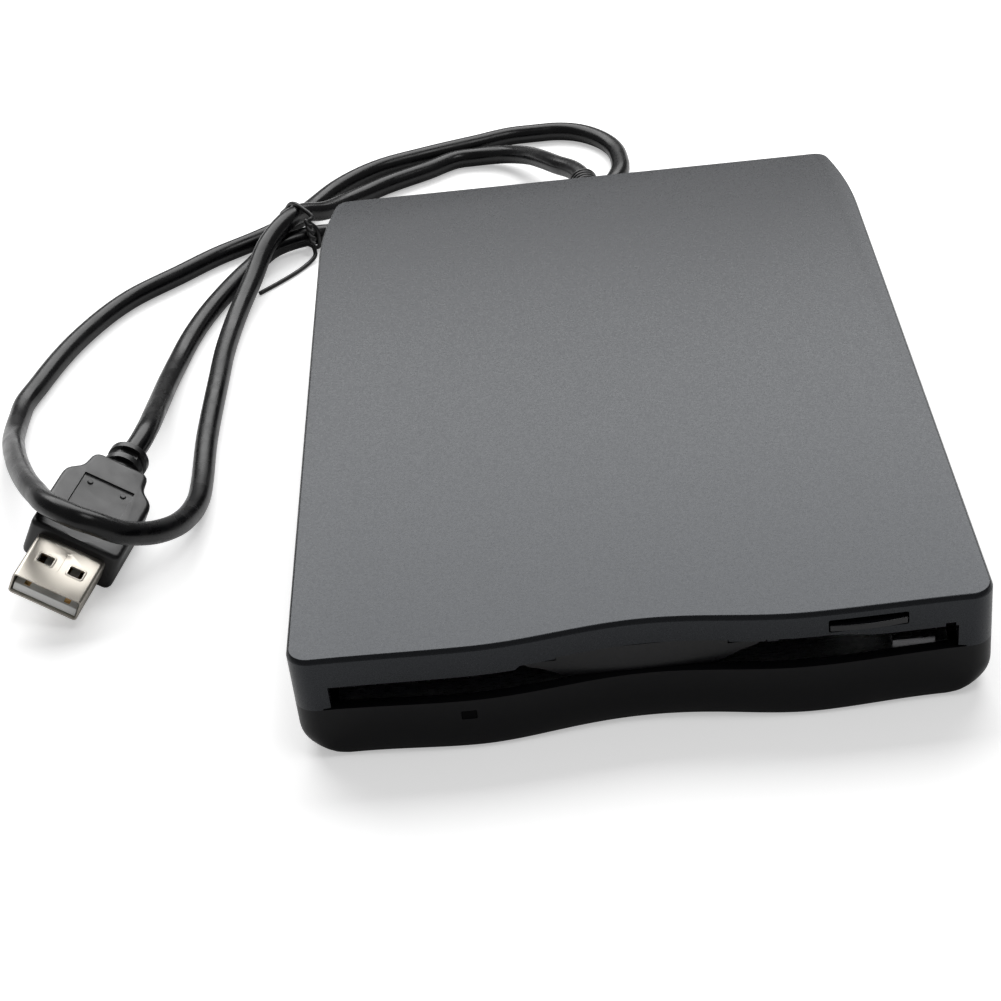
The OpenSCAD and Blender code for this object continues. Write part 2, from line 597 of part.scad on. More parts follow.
module usb_cord() color(black) {
  sweep(concat([relief_end], [for (p = route) p], [plug_end]), cord_d / 2, 10,
    [-sin(lean), cos(lean), 0], turn([1, 0, 0]));
}

// wire tie round the three strands: one wire with a short end, a loop, a twist and a loose tail
tie_c = [-60, 93.4, 0];
tie_e = [-0.65, 0.76, 0];
tie_loop = [[-6.2, 7.9], [-3.8, 9.2], [-0.7, 9.8], [2.4, 8.7], [5.4, 5.8], [6.6, 2.9], [5.9, 1.1],
  [4.6, 0.3], [0, 0.3], [-4.9, 0.3], [-6.7, 1.0], [-7.5, 2.9], [-7.1, 5.3]];
tie_k0 = [-57, 88.3, 7.4];
tie_k1 = [-56.2, 85.4, 3.6];
tie_tail = [[-56.9, 83.9, 1.8], [-58.9, 81.6, 0.6], [-60.6, 78.1, 0.32], [-63.7, 74.6, 0.32], [-67, 71.9, 0.32]];
function twist(i, side) = let (a = 95 * i + side)
  tie_k0 + (tie_k1 - tie_k0) * i / 7 + [0.4 * cos(a), 0.33 * sin(a), 0.22 * sin(a)];
module cord_tie() color(black) {
  sweep(concat([for (i = [7:-1:0]) twist(i, 0)],
    [for (p = tie_loop) tie_c + p[0] * tie_e + [0, 0, p[1]]],
    [for (i = [0:7]) twist(i, 180)], tie_tail), 0.28, 6);
}

// ---- plug: x towards its tip, y to its right, z up ----
module plug() {
  translate(plug_at) rotate([0, 0, -105.2]) rotate([0, 2, 0]) rotate([-28, 0, 0]) children();
}
module rounded(w, h, r) {
  translate([r - w / 2, r - h / 2]) square([w - 2 * r, h - 2 * r]);
  translate([-w / 2, r - h / 2]) square([w, h - 2 * r]);
  translate([r - w / 2, -h / 2]) square([w - 2 * r, h]);
  for (x = [-1, 1], y = [-1, 1]) translate([x * (w / 2 - r), y * (h / 2 - r)]) circle(r = r);
}
module slab(w, h, r, x0, x1) {
  translate([x0, 0, 0]) rotate([90, 0, 90]) linear_extrude(x1 - x0) rounded(w, h, r);
}
module plug_collar() color(black) plug() {
  difference() {
    translate([-38.4, 0, 0]) rotate([0, 90, 0]) union() {
      cylinder(h = 6.1, r = 3.1);
      translate([0, 0, 0.2]) cylinder(h = 1.5, r = 3.6);
      translate([0, 0, 3.2]) cylinder(h = 1.5, r = 3.6);
    }
    for (a = [0, 180]) rotate([a, 0, 0]) {
      box(-36.9, -35.4, -1.6, 1.6, 2.6, 4);
      box(-33.9, -32.9, -1.6, 1.6, 2.6, 4);
    }
  }
}
grip_half = [[-10.5, 6.9], [-10.75, 7.5], [-11.5, 8], [-15, 8], [-20, 8], [-25, 8], [-26, 7.7], [-27, 6.9],
  [-27.8, 6.0], [-28.7, 5.5], [-30, 5.3], [-31.3, 5.1], [-31.9, 4.7], [-32.3, 3.7]];
grip = concat([for (i = [13:-1:0]) [grip_half[i][0], -grip_half[i][1]]],
  [for (p = grip_half) p]);
module plug_overmould() color(black) plug() {
  h = grip_t / 2;
  r = 0.9;
  difference() {
    loft(concat(
      [for (a = [0:30:90]) lift(inset(grip, r * (1 - sin(a))), -h + r * (1 - cos(a)))],
      [for (a = [90:-30:0]) lift(inset(grip, r * (1 - sin(a))), h - r * (1 - cos(a)))]));
    translate([0, 0, h - 0.35]) linear_extrude(1) union() {
      translate([-26.3, -4.5]) square([11.5, 9]);
      translate([-15.5, 0]) circle(r = 4.5);
    }
  }
  for (y = [-3, 3]) rodz(-24.8, y, h - 0.4, h - 0.1, 0.5);
}
module plug_shell() color(steel) plug() difference() {
  union() {
    difference() {
      slab(plug_w, plug_h, 0.7, -10.5, 0);
      slab(plug_w - 0.6, plug_h - 0.6, 0.4, -11, 1);
    }
  }
  for (y = [-2.65, 2.65]) box(-6.6, -4.5, y - 1.25, y + 1.25, -4, 4);
}
module plug_tongue() color([0.95, 0.95, 0.93]) plug() {
  box(-10.5, -0.5, -plug_w / 2 + 0.5, plug_w / 2 - 0.5, -plug_h / 2 + 0.35, -0.15);
}
module plug_contacts() color(brass) plug() for (y = [-3.5, -1, 1, 3.5]) {
  box(-9.5, abs(y) > 2 ? -0.9 : -1.9, y - 0.5, y + 0.5, -0.15, 0.0);
}

top_cover();
bottom_case();
rubber_feet();
case_screws();
led_window();
led();
dust_flap();
flap_spring();
eject_button();
eject_slider();
ejector_spring();
disk_cage();
shutter_lever();
lever_spring();
drive_frame();
frame_screws();
drive_cover();
motor_board();
spindle_bearing();
motor_stator();
stator_coils();
rotor_cup();
rotor_magnet();
spindle_shaft();
hub_chuck();
drive_pin();
head_carriage();
lower_head();
upper_head_arm();
upper_head();
arm_hinge_pin();
guide_rod();
lead_screw();
stepper_motor();
sensor_board();
switch_bodies();
write_plunger();
density_plunger();
disk_plunger();
drive_board();
drive_chips();
bridge_board();
bridge_chips();
ribbon_sockets();
ribbon_cable();
cable_header();
inner_wires();
strain_relief();
usb_cord();
cord_tie();
plug_collar();
plug_overmould();
plug_shell();
plug_tongue();
plug_contacts();
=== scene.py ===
"""External disk drive with its tied cord and plug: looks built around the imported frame."""

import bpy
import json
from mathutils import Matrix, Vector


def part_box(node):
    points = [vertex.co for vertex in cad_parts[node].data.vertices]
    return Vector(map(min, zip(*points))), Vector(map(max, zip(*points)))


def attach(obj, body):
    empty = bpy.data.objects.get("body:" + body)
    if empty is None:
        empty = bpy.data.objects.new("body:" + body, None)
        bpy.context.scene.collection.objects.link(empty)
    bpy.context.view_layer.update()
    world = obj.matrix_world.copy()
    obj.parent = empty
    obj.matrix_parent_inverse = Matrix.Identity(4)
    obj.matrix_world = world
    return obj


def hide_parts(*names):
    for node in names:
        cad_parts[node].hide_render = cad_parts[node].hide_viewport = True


bl_info = {
    "name": "External Disk Drive",
    "version": (1, 0, 0),
    "blender": (4, 5, 0),
    "location": "View3D > Sidebar > Disk Drive",
    "description": "Builds the shells, front pieces, cord and plug of an external disk drive",
    "category": "Object",
}

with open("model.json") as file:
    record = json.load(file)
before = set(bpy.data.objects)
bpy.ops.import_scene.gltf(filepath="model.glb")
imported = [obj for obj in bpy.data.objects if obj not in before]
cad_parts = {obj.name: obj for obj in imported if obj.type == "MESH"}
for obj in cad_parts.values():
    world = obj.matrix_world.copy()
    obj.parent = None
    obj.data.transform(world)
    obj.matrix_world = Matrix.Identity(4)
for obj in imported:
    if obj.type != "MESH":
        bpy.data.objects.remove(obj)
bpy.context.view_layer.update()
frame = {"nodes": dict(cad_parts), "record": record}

import json
import math

import bmesh
import bpy
from bpy.props import FloatProperty, FloatVectorProperty, PointerProperty
from mathutils import Matrix, Vector

MM = 0.001

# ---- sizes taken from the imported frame, in millimetres ----


def frame_box(node):
    """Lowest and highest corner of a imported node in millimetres."""
    low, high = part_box(node)
    return low / MM, high / MM


TOP_HIGH = frame_box("top_cover")[1]
BASE_LOW, BASE_HIGH = frame_box("bottom_case")
CASE_HALF = BASE_HIGH.x
REAR = BASE_HIGH.y
FRONT = BASE_LOW.y
CASE_TOP = TOP_HIGH.z
SHELL_LOW = BASE_LOW.z
PARTING = BASE_HIGH.z
END_Y = FRONT + 1.1
WALL = 1.8
FLOOR_TOP = 2.1
ROOF_UNDER = CASE_TOP - 1.6
CORNER_R = 3.5
LOW_FRONT, LOW_DIP, LOW_CORNER = 0.2, 0.6, 4.0
BACK_R = 3.0
DRAW_IN = 3.0
DRAW_L = 22.0
UPPER_WAVE = (FRONT + 3.0, FRONT + 0.6)
LOWER_WAVE = (FRONT + 2.3, FRONT)
WAVE_HALF = 25.0
SLOT_HALF = 46.0
BUTTON_X, BUTTON_W = 32.9, 11.3
LED_X, LED_W = -26.0, 2.3
RELIEF_X, RELIEF_L, LEAN = 3.0, 17.0, 8.0
BOSS_X, BOSS_Y = 40.0, 65.5
FLAP_Y, HINGE_Z = -69.1, 13.7
FOOT_X, FOOT_IN = CASE_HALF - 10.5, 14.8

# ---- cord route: the same points as in the part's source ----
CORD_D = 4.0
NECK_X = -38.4
PLUG_AT = Vector((-94.6, -32.9, 6.58))
PLUG_TURN = (
    Matrix.Rotation(math.radians(-105.2), 3, "Z")
    @ Matrix.Rotation(math.radians(2.0), 3, "Y")
    @ Matrix.Rotation(math.radians(-28.0), 3, "X")
)
ROUTE = (
    (0, 93, 9.4), (-1.5, 96.5, 8.9), (-4, 100.5, 8.1), (-7, 106.5, 6.8), (-10.5, 113.5, 4.8),
    (-16, 119.3, 2.8), (-24.5, 121, 2), (-33, 116.5, 2), (-43.5, 110.5, 2), (-50, 104.5, 2.6),
    (-54.5, 98, 4.3), (-59, 93.3, 6.7), (-61.5, 89, 7.4), (-65, 82.3, 6.4), (-68, 72, 3.8),
    (-70.5, 61, 2.4), (-72, 49, 2), (-72.5, 37, 2), (-73, 17, 2.2), (-72.5, -2.5, 3),
    (-73.5, -11, 4.6), (-75.3, -17.4, 7), (-78.7, -23.4, 10.5), (-81.9, -26.6, 13.6),
    (-86.3, -27.2, 16.7), (-91.7, -24.3, 18), (-96.6, -15.9, 15.9), (-102.3, -1.9, 11.6),
    (-106.6, 12.3, 7.2), (-108.9, 22.2, 3.6), (-109.5, 33.5, 2.1), (-107.5, 42, 2), (-101.5, 59, 2),
    (-93.5, 72, 2), (-84, 80.5, 2), (-75.5, 87.8, 2), (-66.5, 92.7, 2.6), (-61, 97.3, 2.8),
    (-57, 105, 2.2), (-53, 111.7, 2), (-44, 120, 2), (-33, 124.3, 2), (-22, 127.5, 2),
    (-12, 130, 2), (-5.5, 130, 2), (0.5, 128.5, 2), (6, 123.5, 2), (9, 117, 2), (9.5, 110, 2),
    (7.5, 102.5, 2), (2, 95.5, 2), (-6, 91, 2), (-18, 88.5, 2), (-31, 87.5, 2), (-43, 88.7, 2),
    (-54, 90.6, 2.7), (-58.7, 89.8, 2.8), (-64.5, 87, 2.6), (-69.5, 79.5, 2), (-74, 70, 2),
    (-77.5, 60.5, 2), (-80.5, 48, 2), (-81.8, 37, 3), (-82.2, 26, 5), (-82.3, 17, 7), (-83, 10, 7.9),
)


def plug_point(x, y, z):
    """A point of the plug's own frame (x towards its tip) in the row frame, in millimetres."""
    return PLUG_AT + PLUG_TURN @ Vector((x, y, z))


# ---- mesh helpers ----


def link(mesh_or_curve, name):
    """A new object for that data in the scene."""
    obj = bpy.data.objects.new(name, mesh_or_curve)
    bpy.context.scene.collection.objects.link(obj)
    return obj


def solid(name, verts, faces, place=None):
    """A mesh object from points in millimetres."""
    mesh = bpy.data.meshes.new(name)
    moved = [place @ Vector(v) for v in verts] if place else [Vector(v) for v in verts]
    mesh.from_pydata([v * MM for v in moved], [], faces)
    mesh.validate()
    obj = link(mesh, name)
    tidy = bmesh.new()
    tidy.from_mesh(mesh)
    bmesh.ops.recalc_face_normals(tidy, faces=tidy.faces)
    tidy.to_mesh(mesh)
    tidy.free()
    return obj


def loft(name, rings, place=None):
    """A closed body through rings of equal length."""
    n, m = len(rings[0]), len(rings)
    verts = [p for ring in rings for p in ring]
    faces = [
        (k * n + i, k * n + (i + 1) % n, (k + 1) * n + (i + 1) % n, (k + 1) * n + i)
        for k in range(m - 1)
        for i in range(n)
    ]
    faces.append(tuple(reversed(range(n))))
    faces.append(tuple((m - 1) * n + i for i in range(n)))
    return solid(name, verts, faces, place)


def prism(name, outline, z0, z1, place=None):
    """A straight body with that outline between two heights."""
    return loft(name, [[(x, y, z) for x, y in outline] for z in (z0, z1)], place)


def block(name, x0, x1, y0, y1, z0, z1, place=None):
    """A plain box, used as a cutter or a rib."""
    return prism(name, [(x0, y0), (x1, y0), (x1, y1), (x0, y1)], z0, z1, place)


def lathe(name, profile, place=None, steps=48):
    """A body of revolution about its own Z from (radius, height) pairs, closed on the axis."""
    least = 1e-4
    turns = [2 * math.pi * k / steps for k in range(steps)]
    rings = []
    for r, z in profile:
        r = max(r, least)
        rings.append([(r * math.cos(a), r * math.sin(a), z) for a in turns])
    return loft(name, rings, place)


def shift(x, y=0.0, z=0.0):
    """A plain move in millimetres."""
    return Matrix.Translation((x, y, z))


def turned(degrees, axis):
    """A turn about one axis."""
    return Matrix.Rotation(math.radians(degrees), 4, axis)


def along_y(x, y, z):
    """Places a lathe's axis along +Y at that point."""
    return shift(x, y, z) @ turned(-90, "X")


def rod(name, r, z0, z1, place=None, steps=40):
    """A plain rod about Z, used as a cutter or a post."""
    return lathe(name, [(r, z0), (r, z1)], place, steps)


def combine(obj, others, operation):
    """Cuts or joins bodies and removes the tools that did it."""
    for other in others:
        step = obj.modifiers.new("step", "BOOLEAN")
        step.operation = operation
        step.solver = "EXACT"
        step.object = other
        graph = bpy.context.evaluated_depsgraph_get()
        made = bpy.data.meshes.new_from_object(obj.evaluated_get(graph))
        obj.modifiers.clear()
        old = obj.data
        obj.data = made
        bpy.data.meshes.remove(old)
        tool = other.data
        bpy.data.objects.remove(other)
        bpy.data.meshes.remove(tool)
    return obj


def cut(obj, *others):
    """Takes bodies away."""
    return combine(obj, others, "DIFFERENCE")


def add(obj, *others):
    """Joins bodies on."""
    return combine(obj, others, "UNION")


def soften(obj, width, segments=2, angle=35.0):
    """Rounds the hard edges and smooths the rest."""
    obj.data.shade_smooth()
    obj.data.set_sharp_from_angle(angle=math.radians(angle))
    if width > 0:
        edge = obj.modifiers.new("edge", "BEVEL")
        edge.width = width * MM
        edge.segments = segments
        edge.limit_method = "ANGLE"
        edge.angle_limit = math.radians(angle)
        edge.harden_normals = True
    return obj


def finish_piece(obj, material, body, slot, *nodes):
    """Gives a piece its material and body, and hides the nodes that it stands for; its finish slot is not
    used.
    """
    obj.data.materials.clear()
    obj.data.materials.append(material)
    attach(obj, body)
    if nodes:
        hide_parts(*nodes)
    return obj


def level_handles(line):
    """Sets a spline's handles so that it never swings past its points in any direction."""
    spots = line.bezier_points
    for k in range(1, len(spots) - 1):
        here = spots[k].co
        d0, d1 = here - spots[k - 1].co, spots[k + 1].co - here
        l0, l1 = d0.length, d1.length
        way = (d0 * (l1 / l0) + d1 * (l0 / l1)) / (l0 + l1)
        for c in range(3):
            if d0[c] * d1[c] <= 0:
                way[c] = 0
            else:
                most = 3 * min(abs(d0[c]) / l0, abs(d1[c]) / l1)
                way[c] = max(-most, min(most, way[c]))
        spots[k].handle_left_type = spots[k].handle_right_type = "FREE"
        spots[k].handle_left = here - way * (l0 / 3)
        spots[k].handle_right = here + way * (l1 / 3)


def tube(name, points, radius, resolution=5, sides=6):
    """An open smooth curve through points in millimetres, with round section."""
    curve = bpy.data.curves.new(name, "CURVE")
    curve.dimensions = "3D"
    line = curve.splines.new("BEZIER")
    line.bezier_points.add(len(points) - 1)
    for spot, p in zip(line.bezier_points, points):
        spot.co = Vector(p) * MM
        spot.handle_left_type = spot.handle_right_type = "AUTO"
    level_handles(line)
    line.resolution_u = resolution
    curve.bevel_depth = radius * MM
    curve.bevel_resolution = sides
    curve.use_fill_caps = True
    return link(curve, name)


# ---- outlines of the case, as in the part's source ----


def wave(x, centre, bulge, corner=CORNER_R):
    """Front edge of a shell at x."""
    a = abs(x)
    if a < WAVE_HALF:
        return bulge + (centre - bulge) * (1 + math.cos(math.radians(180 * a / WAVE_HALF))) / 2
    t = min(1.0, (a - WAVE_HALF) / (CASE_HALF - corner - WAVE_HALF))
    return bulge + (END_Y - bulge) * t * t * (3 - 2 * t)


def case_outline(centre, bulge, corner=CORNER_R):
    """Plan of a shell, anticlockwise, as a list of points."""
    n_front = 48
    start = REAR - DRAW_L
    th = math.atan(2 * DRAW_IN * (DRAW_L - BACK_R) / DRAW_L**2)
    reach = REAR - BACK_R + BACK_R * math.sin(th)
    th = math.atan(2 * DRAW_IN * (reach - start) / DRAW_L**2)
    reach = REAR - BACK_R + BACK_R * math.sin(th)

    def side(y):
        return CASE_HALF - DRAW_IN * (max(0.0, y - start) / DRAW_L) ** 2

    front = [
        (x, wave(x, centre, bulge, corner))
        for x in ((CASE_HALF - corner) * i / (n_front + 1) for i in range(-n_front, n_front + 1))
    ]
    right = [
        (
            CASE_HALF - corner + corner * math.cos(math.radians(a)),
            END_Y + corner + corner * math.sin(math.radians(a)),
        )
        for a in range(-90, 1, 9)
    ]
    right += [(CASE_HALF, END_Y + corner + (start - END_Y - corner) * i / 6) for i in range(1, 6)]
    right += [(side(y), y) for y in (start + (reach - start) * i / 14 for i in range(14))]
    xa = side(reach)
    for i in range(11):
        a = th + (math.pi / 2 - th) * i / 10
        x = xa - BACK_R * math.cos(th) + BACK_R * math.cos(a)
        right.append((x, REAR - BACK_R + BACK_R * math.sin(a)))
    left = [(-x, y) for x, y in reversed(right)]
    back = [(right[-1][0] * (1 - 2 * i / 8), REAR) for i in range(1, 8)]
    return front + right + back + left


def inset(points, d, front=1.0):
    """The same outline moved inwards by d, and by that share of it where it faces the front."""
    n = len(points)
    moved = []
    for i in range(n):
        here = Vector(points[i])
        ahead, behind = Vector(points[(i + 1) % n]) - here, here - Vector(points[i - 1])
        t = (ahead.normalized() + behind.normalized()).normalized()
        reach = d * (1 - (1 - front) * max(0.0, t.x) ** 6)
        moved.append((here.x - reach * t.y, here.y + reach * t.x))
    return moved


def slot_edge(brow):
    """Front view of the slot, with its top at that height in front of the flap's springs."""
    side, foot = SLOT_HALF, PARTING - 1
    return (
        (-side - 1.2, foot), (side + 1.2, foot), (side + 1.2, 9.7), (side, 9.9),
        (side, 13.6), (side - 0.4, 13.6), (side - 0.4, 14.2), (side - 1.9, 14.2),
        (side - 1.9, 13.6), (36.5, 13.6), (34.5, 13.66), (33, 13.8), (31.7, 13.98), (30.5, 14.2),
        (29.2, 14.38), (27.5, 14.5), (18, 14.5), (17.9, brow), (12.66, brow), (12.62, 14.5),
        (-12.62, 14.5), (-12.66, brow), (-17.9, brow), (-18.6, 13.6), (-side, 13.6), (-side, 9.9),
        (-side - 1.2, 9.7),
    )


def rounded_rect(x0, x1, y0, y1, r, steps=6):
    """A rectangle with round corners, anticlockwise."""
    points = []
    corners = ((x1 - r, y0 + r, -90), (x1 - r, y1 - r, 0), (x0 + r, y1 - r, 90), (x0 + r, y0 + r, 180))
    for cx, cy, a0 in corners:
        for k in range(steps + 1):
            a = math.radians(a0 + 90 * k / steps)
            points.append((cx + r * math.cos(a), cy + r * math.sin(a)))
    return points


def front_prism(name, outline, y0, y1):
    """A prism whose outline is drawn in X and Z and which runs from y0 to y1."""
    return loft(name, [[(x, y, z) for x, z in outline] for y in (y0, y1)])


# ---- materials ----


def new_material(name):
    """A material with its shader and the node helpers bound to it."""
    mat = bpy.data.materials.new(name)
    mat.use_nodes = True
    nodes, links = mat.node_tree.nodes, mat.node_tree.links
    shader = nodes["Principled BSDF"]
    spot = nodes.new("ShaderNodeTexCoord")
    return mat, nodes, links, shader, spot.outputs["Object"]


def grain(nodes, links, where, scale, detail=3.0, stretch=None):
    """A noise at that scale per metre, drawn out along an axis if asked."""
    if stretch:
        mapping = nodes.new("ShaderNodeMapping")
        mapping.inputs["Scale"].default_value = stretch
        links.new(where, mapping.inputs["Vector"])
        where = mapping.outputs["Vector"]
    noise = nodes.new("ShaderNodeTexNoise")
    noise.inputs["Scale"].default_value = scale
    noise.inputs["Detail"].default_value = detail
    noise.inputs["Roughness"].default_value = 0.55
    links.new(where, noise.inputs["Vector"])
    return noise.outputs["Fac"]


def spread(nodes, links, value, low, high):
    """Maps the middle part of a noise to a range."""
    remap = nodes.new("ShaderNodeMapRange")
    remap.inputs["From Min"].default_value = 0.3
    remap.inputs["From Max"].default_value = 0.7
    remap.inputs["To Min"].default_value = low
    remap.inputs["To Max"].default_value = high
    links.new(value, remap.inputs["Value"])
    return remap.outputs["Result"]


def tinted(nodes, links, shader, value, colour, change):
    """Varies the base colour a little by a noise."""
    ramp = nodes.new("ShaderNodeValToRGB")
    dark = [c * (1 - change) for c in colour]
    pale = [min(1.0, c * (1 + change)) for c in colour]
    ramp.color_ramp.elements[0].position = 0.3
    ramp.color_ramp.elements[1].position = 0.7
    ramp.color_ramp.elements[0].color = (*dark, 1)
    ramp.color_ramp.elements[1].color = (*pale, 1)
    links.new(value, ramp.inputs["Fac"])
    links.new(ramp.outputs["Color"], shader.inputs["Base Color"])


def relief(nodes, links, shader, value, distance):
    """Adds a bump of that height in metres."""
    bump = nodes.new("ShaderNodeBump")
    bump.inputs["Distance"].default_value = distance
    bump.inputs["Strength"].default_value = 1.0
    links.new(value, bump.inputs["Height"])
    links.new(bump.outputs["Normal"], shader.inputs["Normal"])


def moulded(name, colour, rough=0.5, fine=5200, height=9e-6, specular=0.5, tint=(1, 1, 1)):
    """Moulded plastic with a spark-eroded grain."""
    mat, nodes, links, shader, where = new_material(name)
    fine_grain = grain(nodes, links, where, fine, 2.0)
    broad = grain(nodes, links, where, 90, 4.0)
    tinted(nodes, links, shader, broad, colour, 0.05)
    links.new(spread(nodes, links, fine_grain, rough - 0.05, rough + 0.06), shader.inputs["Roughness"])
    relief(nodes, links, shader, fine_grain, height)
    shader.inputs["Specular IOR Level"].default_value = specular
    shader.inputs["Specular Tint"].default_value = (*tint, 1)
    return mat


def soft_cover(name, colour, rough, fine, height, specular=0.5):
    """Smooth vinyl of a cord or a grip, with faint drawing marks."""
    mat, nodes, links, shader, where = new_material(name)
    fine_grain = grain(nodes, links, where, fine, 4.0)
    broad = grain(nodes, links, where, 260, 3.0)
    tinted(nodes, links, shader, broad, colour, 0.18)
    links.new(spread(nodes, links, broad, rough - 0.06, rough + 0.08), shader.inputs["Roughness"])
    relief(nodes, links, shader, fine_grain, height)
    shader.inputs["Specular IOR Level"].default_value = specular
    return mat


def rolled_steel(name, colour, rough):
    """Sheet or turned steel with fine drawn lines."""
    mat, nodes, links, shader, where = new_material(name)
    lines = grain(nodes, links, where, 900, 4.0, (1, 18, 1))
    broad = grain(nodes, links, where, 120, 3.0)
    tinted(nodes, links, shader, broad, colour, 0.07)
    links.new(spread(nodes, links, lines, rough - 0.08, rough + 0.12), shader.inputs["Roughness"])
    relief(nodes, links, shader, lines, 4e-6)
    shader.inputs["Metallic"].default_value = 1.0
    return mat


def bright_plate(name, colour, rough):
    """Bright nickel plate, smooth, with faint clouds and a hint of its rolling lines."""
    mat, nodes, links, shader, where = new_material(name)
    cloud = grain(nodes, links, where, 160, 3.0)
    lines = grain(nodes, links, where, 500, 3.0, (1, 12, 1))
    tinted(nodes, links, shader, cloud, colour, 0.05)
    links.new(spread(nodes, links, cloud, rough - 0.03, rough + 0.05), shader.inputs["Roughness"])
    relief(nodes, links, shader, lines, 6e-7)
    shader.inputs["Metallic"].default_value = 1.0
    return mat


def circuit(name, colour, trace):
    """Lacquered board with a pattern of tracks."""
    mat, nodes, links, shader, where = new_material(name)
    bricks = nodes.new("ShaderNodeTexBrick")
    bricks.inputs["Scale"].default_value = 260
    bricks.inputs["Mortar Size"].default_value = 0.06
    bricks.inputs["Color1"].default_value = (*colour, 1)
    bricks.inputs["Color2"].default_value = (*[c * 0.85 for c in colour], 1)
    bricks.inputs["Mortar"].default_value = (*trace, 1)
    links.new(where, bricks.inputs["Vector"])
    links.new(bricks.outputs["Color"], shader.inputs["Base Color"])
    weave = grain(nodes, links, where, 1800, 2.0)
    links.new(spread(nodes, links, weave, 0.22, 0.38), shader.inputs["Roughness"])
    relief(nodes, links, shader, bricks.outputs["Fac"], 2e-5)
    return mat


def wound(name, colour):
    """Lacquered wire laid in turns."""
    mat, nodes, links, shader, where = new_material(name)
    turns = nodes.new("ShaderNodeTexWave")
    turns.inputs["Scale"].default_value = 900
    turns.inputs["Distortion"].default_value = 1.0
    links.new(where, turns.inputs["Vector"])
    tinted(nodes, links, shader, turns.outputs["Fac"], colour, 0.3)
    relief(nodes, links, shader, turns.outputs["Fac"], 6e-5)
    shader.inputs["Metallic"].default_value = 0.7
    shader.inputs["Roughness"].default_value = 0.35
    return mat


def clear_lens(name, colour):
    """Tinted window of the indicator."""
    mat, nodes, links, shader, where = new_material(name)
    cloud = grain(nodes, links, where, 1500, 2.0)
    tinted(nodes, links, shader, cloud, colour, 0.15)
    links.new(spread(nodes, links, cloud, 0.3, 0.45), shader.inputs["Roughness"])
    relief(nodes, links, shader, cloud, 4e-6)
    shader.inputs["Specular IOR Level"].default_value = 0.04
    return mat


FINISH = {}


def make_finishes(look):
    """All finishes, by the record's slot names and by the pieces that need their own."""
    cool = (0.88, 0.93, 1.0)
    FINISH["case_top"] = moulded("case_top_grain", tuple(look.top_colour), 0.29, 3000, 6e-6, 0.38, cool)
    # The lower shell's colour is partly its own near-black and partly painted shade for the dark lower
    # front.
    FINISH["case_low"] = moulded("case_low_grain", tuple(look.low_colour_and_shade), 0.34, specular=0.2)
    FINISH["trim"] = moulded("trim_grain", tuple(look.trim_colour), 0.32, specular=0.4)
    FINISH["button"] = moulded("button_grain", tuple(look.trim_colour), 0.16, height=2e-6, specular=0.45)
    FINISH["soft_black"] = soft_cover("soft_black_vinyl", tuple(look.grip_colour), 0.34, 3000, 8e-6)
    FINISH["cord"] = soft_cover("cord_vinyl", tuple(look.cord_colour), 0.25, 2400, 4e-6, 0.32)
    FINISH["black_plastic"] = moulded("black_mould", (0.012, 0.012, 0.013), 0.4)
    FINISH["steel_sheet"] = rolled_steel("steel_sheet_rolled", (0.62, 0.62, 0.63), 0.3)
    FINISH["steel_dark"] = rolled_steel("steel_dark_turned", (0.33, 0.33, 0.34), 0.38)
    FINISH["brass"] = rolled_steel("brass_turned", (0.75, 0.55, 0.25), 0.3)
    FINISH["copper"] = wound("copper_winding", (0.62, 0.28, 0.13))
    FINISH["board"] = circuit("board_green", (0.012, 0.09, 0.035), (0.03, 0.17, 0.07))
    FINISH["ivory"] = moulded("ivory_mould", (0.72, 0.68, 0.58), 0.45)
    FINISH["white_plastic"] = moulded("white_mould", (0.82, 0.82, 0.8), 0.35)
    FINISH["lens"] = clear_lens("lens_tinted", (0.0015, 0.0015, 0.0018))
    FINISH["plated"] = bright_plate("plug_nickel", (0.46, 0.432, 0.385), 0.38)
    FINISH["gold"] = rolled_steel("contact_gold", (0.6, 0.39, 0.17), 0.3)
    FINISH["flat_cable"] = wound("ribbon_ribs", (0.5, 0.52, 0.56))


# ---- settings ----


class DriveShape(bpy.types.PropertyGroup):
    """Sizes that only the looks use."""

    seam: FloatProperty(
        name="Seam edge", description="Rounding of the edges along the seam, in mm",
        default=0.16, min=0.05, max=0.4,
    )
    top_edge: FloatProperty(
        name="Top edge", description="Size of the slope round the top, as a share of the one in the photo",
        default=1.0, min=0.5, max=1.3,
    )
    low_edge: FloatProperty(
        name="Lower edge", description="How far the lower edge is rounded inwards, in mm",
        default=2.8, min=2.0, max=2.9,
    )
    low_rise: FloatProperty(
        name="Lower edge rise", description="How high the rounding of the lower edge reaches, in mm",
        default=5.0, min=4.0, max=6.0,
    )


class DriveLook(bpy.types.PropertyGroup):
    """Colours of the finishes."""

    top_colour: FloatVectorProperty(
        name="Upper shell", description="Colour of the upper shell", subtype="COLOR",
        size=3, default=(0.007, 0.0074, 0.0088), min=0, max=1,
    )
    # Darker than the upper shell: partly the lower shell's own near-black, partly painted shade for its
    # dark lower front.
    low_colour_and_shade: FloatVectorProperty(
        name="Lower shell", description="Colour of the lower shell", subtype="COLOR",
        size=3, default=(0.0032, 0.0032, 0.004), min=0, max=1,
    )
    trim_colour: FloatVectorProperty(
        name="Front pieces", description="Colour of the flap and the button", subtype="COLOR",
        size=3, default=(0.006, 0.006, 0.0072), min=0, max=1,
    )
    cord_colour: FloatVectorProperty(
        name="Cord", description="Colour of the cord", subtype="COLOR",
        size=3, default=(0.0025, 0.0025, 0.003), min=0, max=1,
    )
    grip_colour: FloatVectorProperty(
        name="Grip", description="Colour of the grip, the strain relief and the feet", subtype="COLOR",
        size=3, default=(0.0065, 0.0065, 0.007), min=0, max=1,
    )


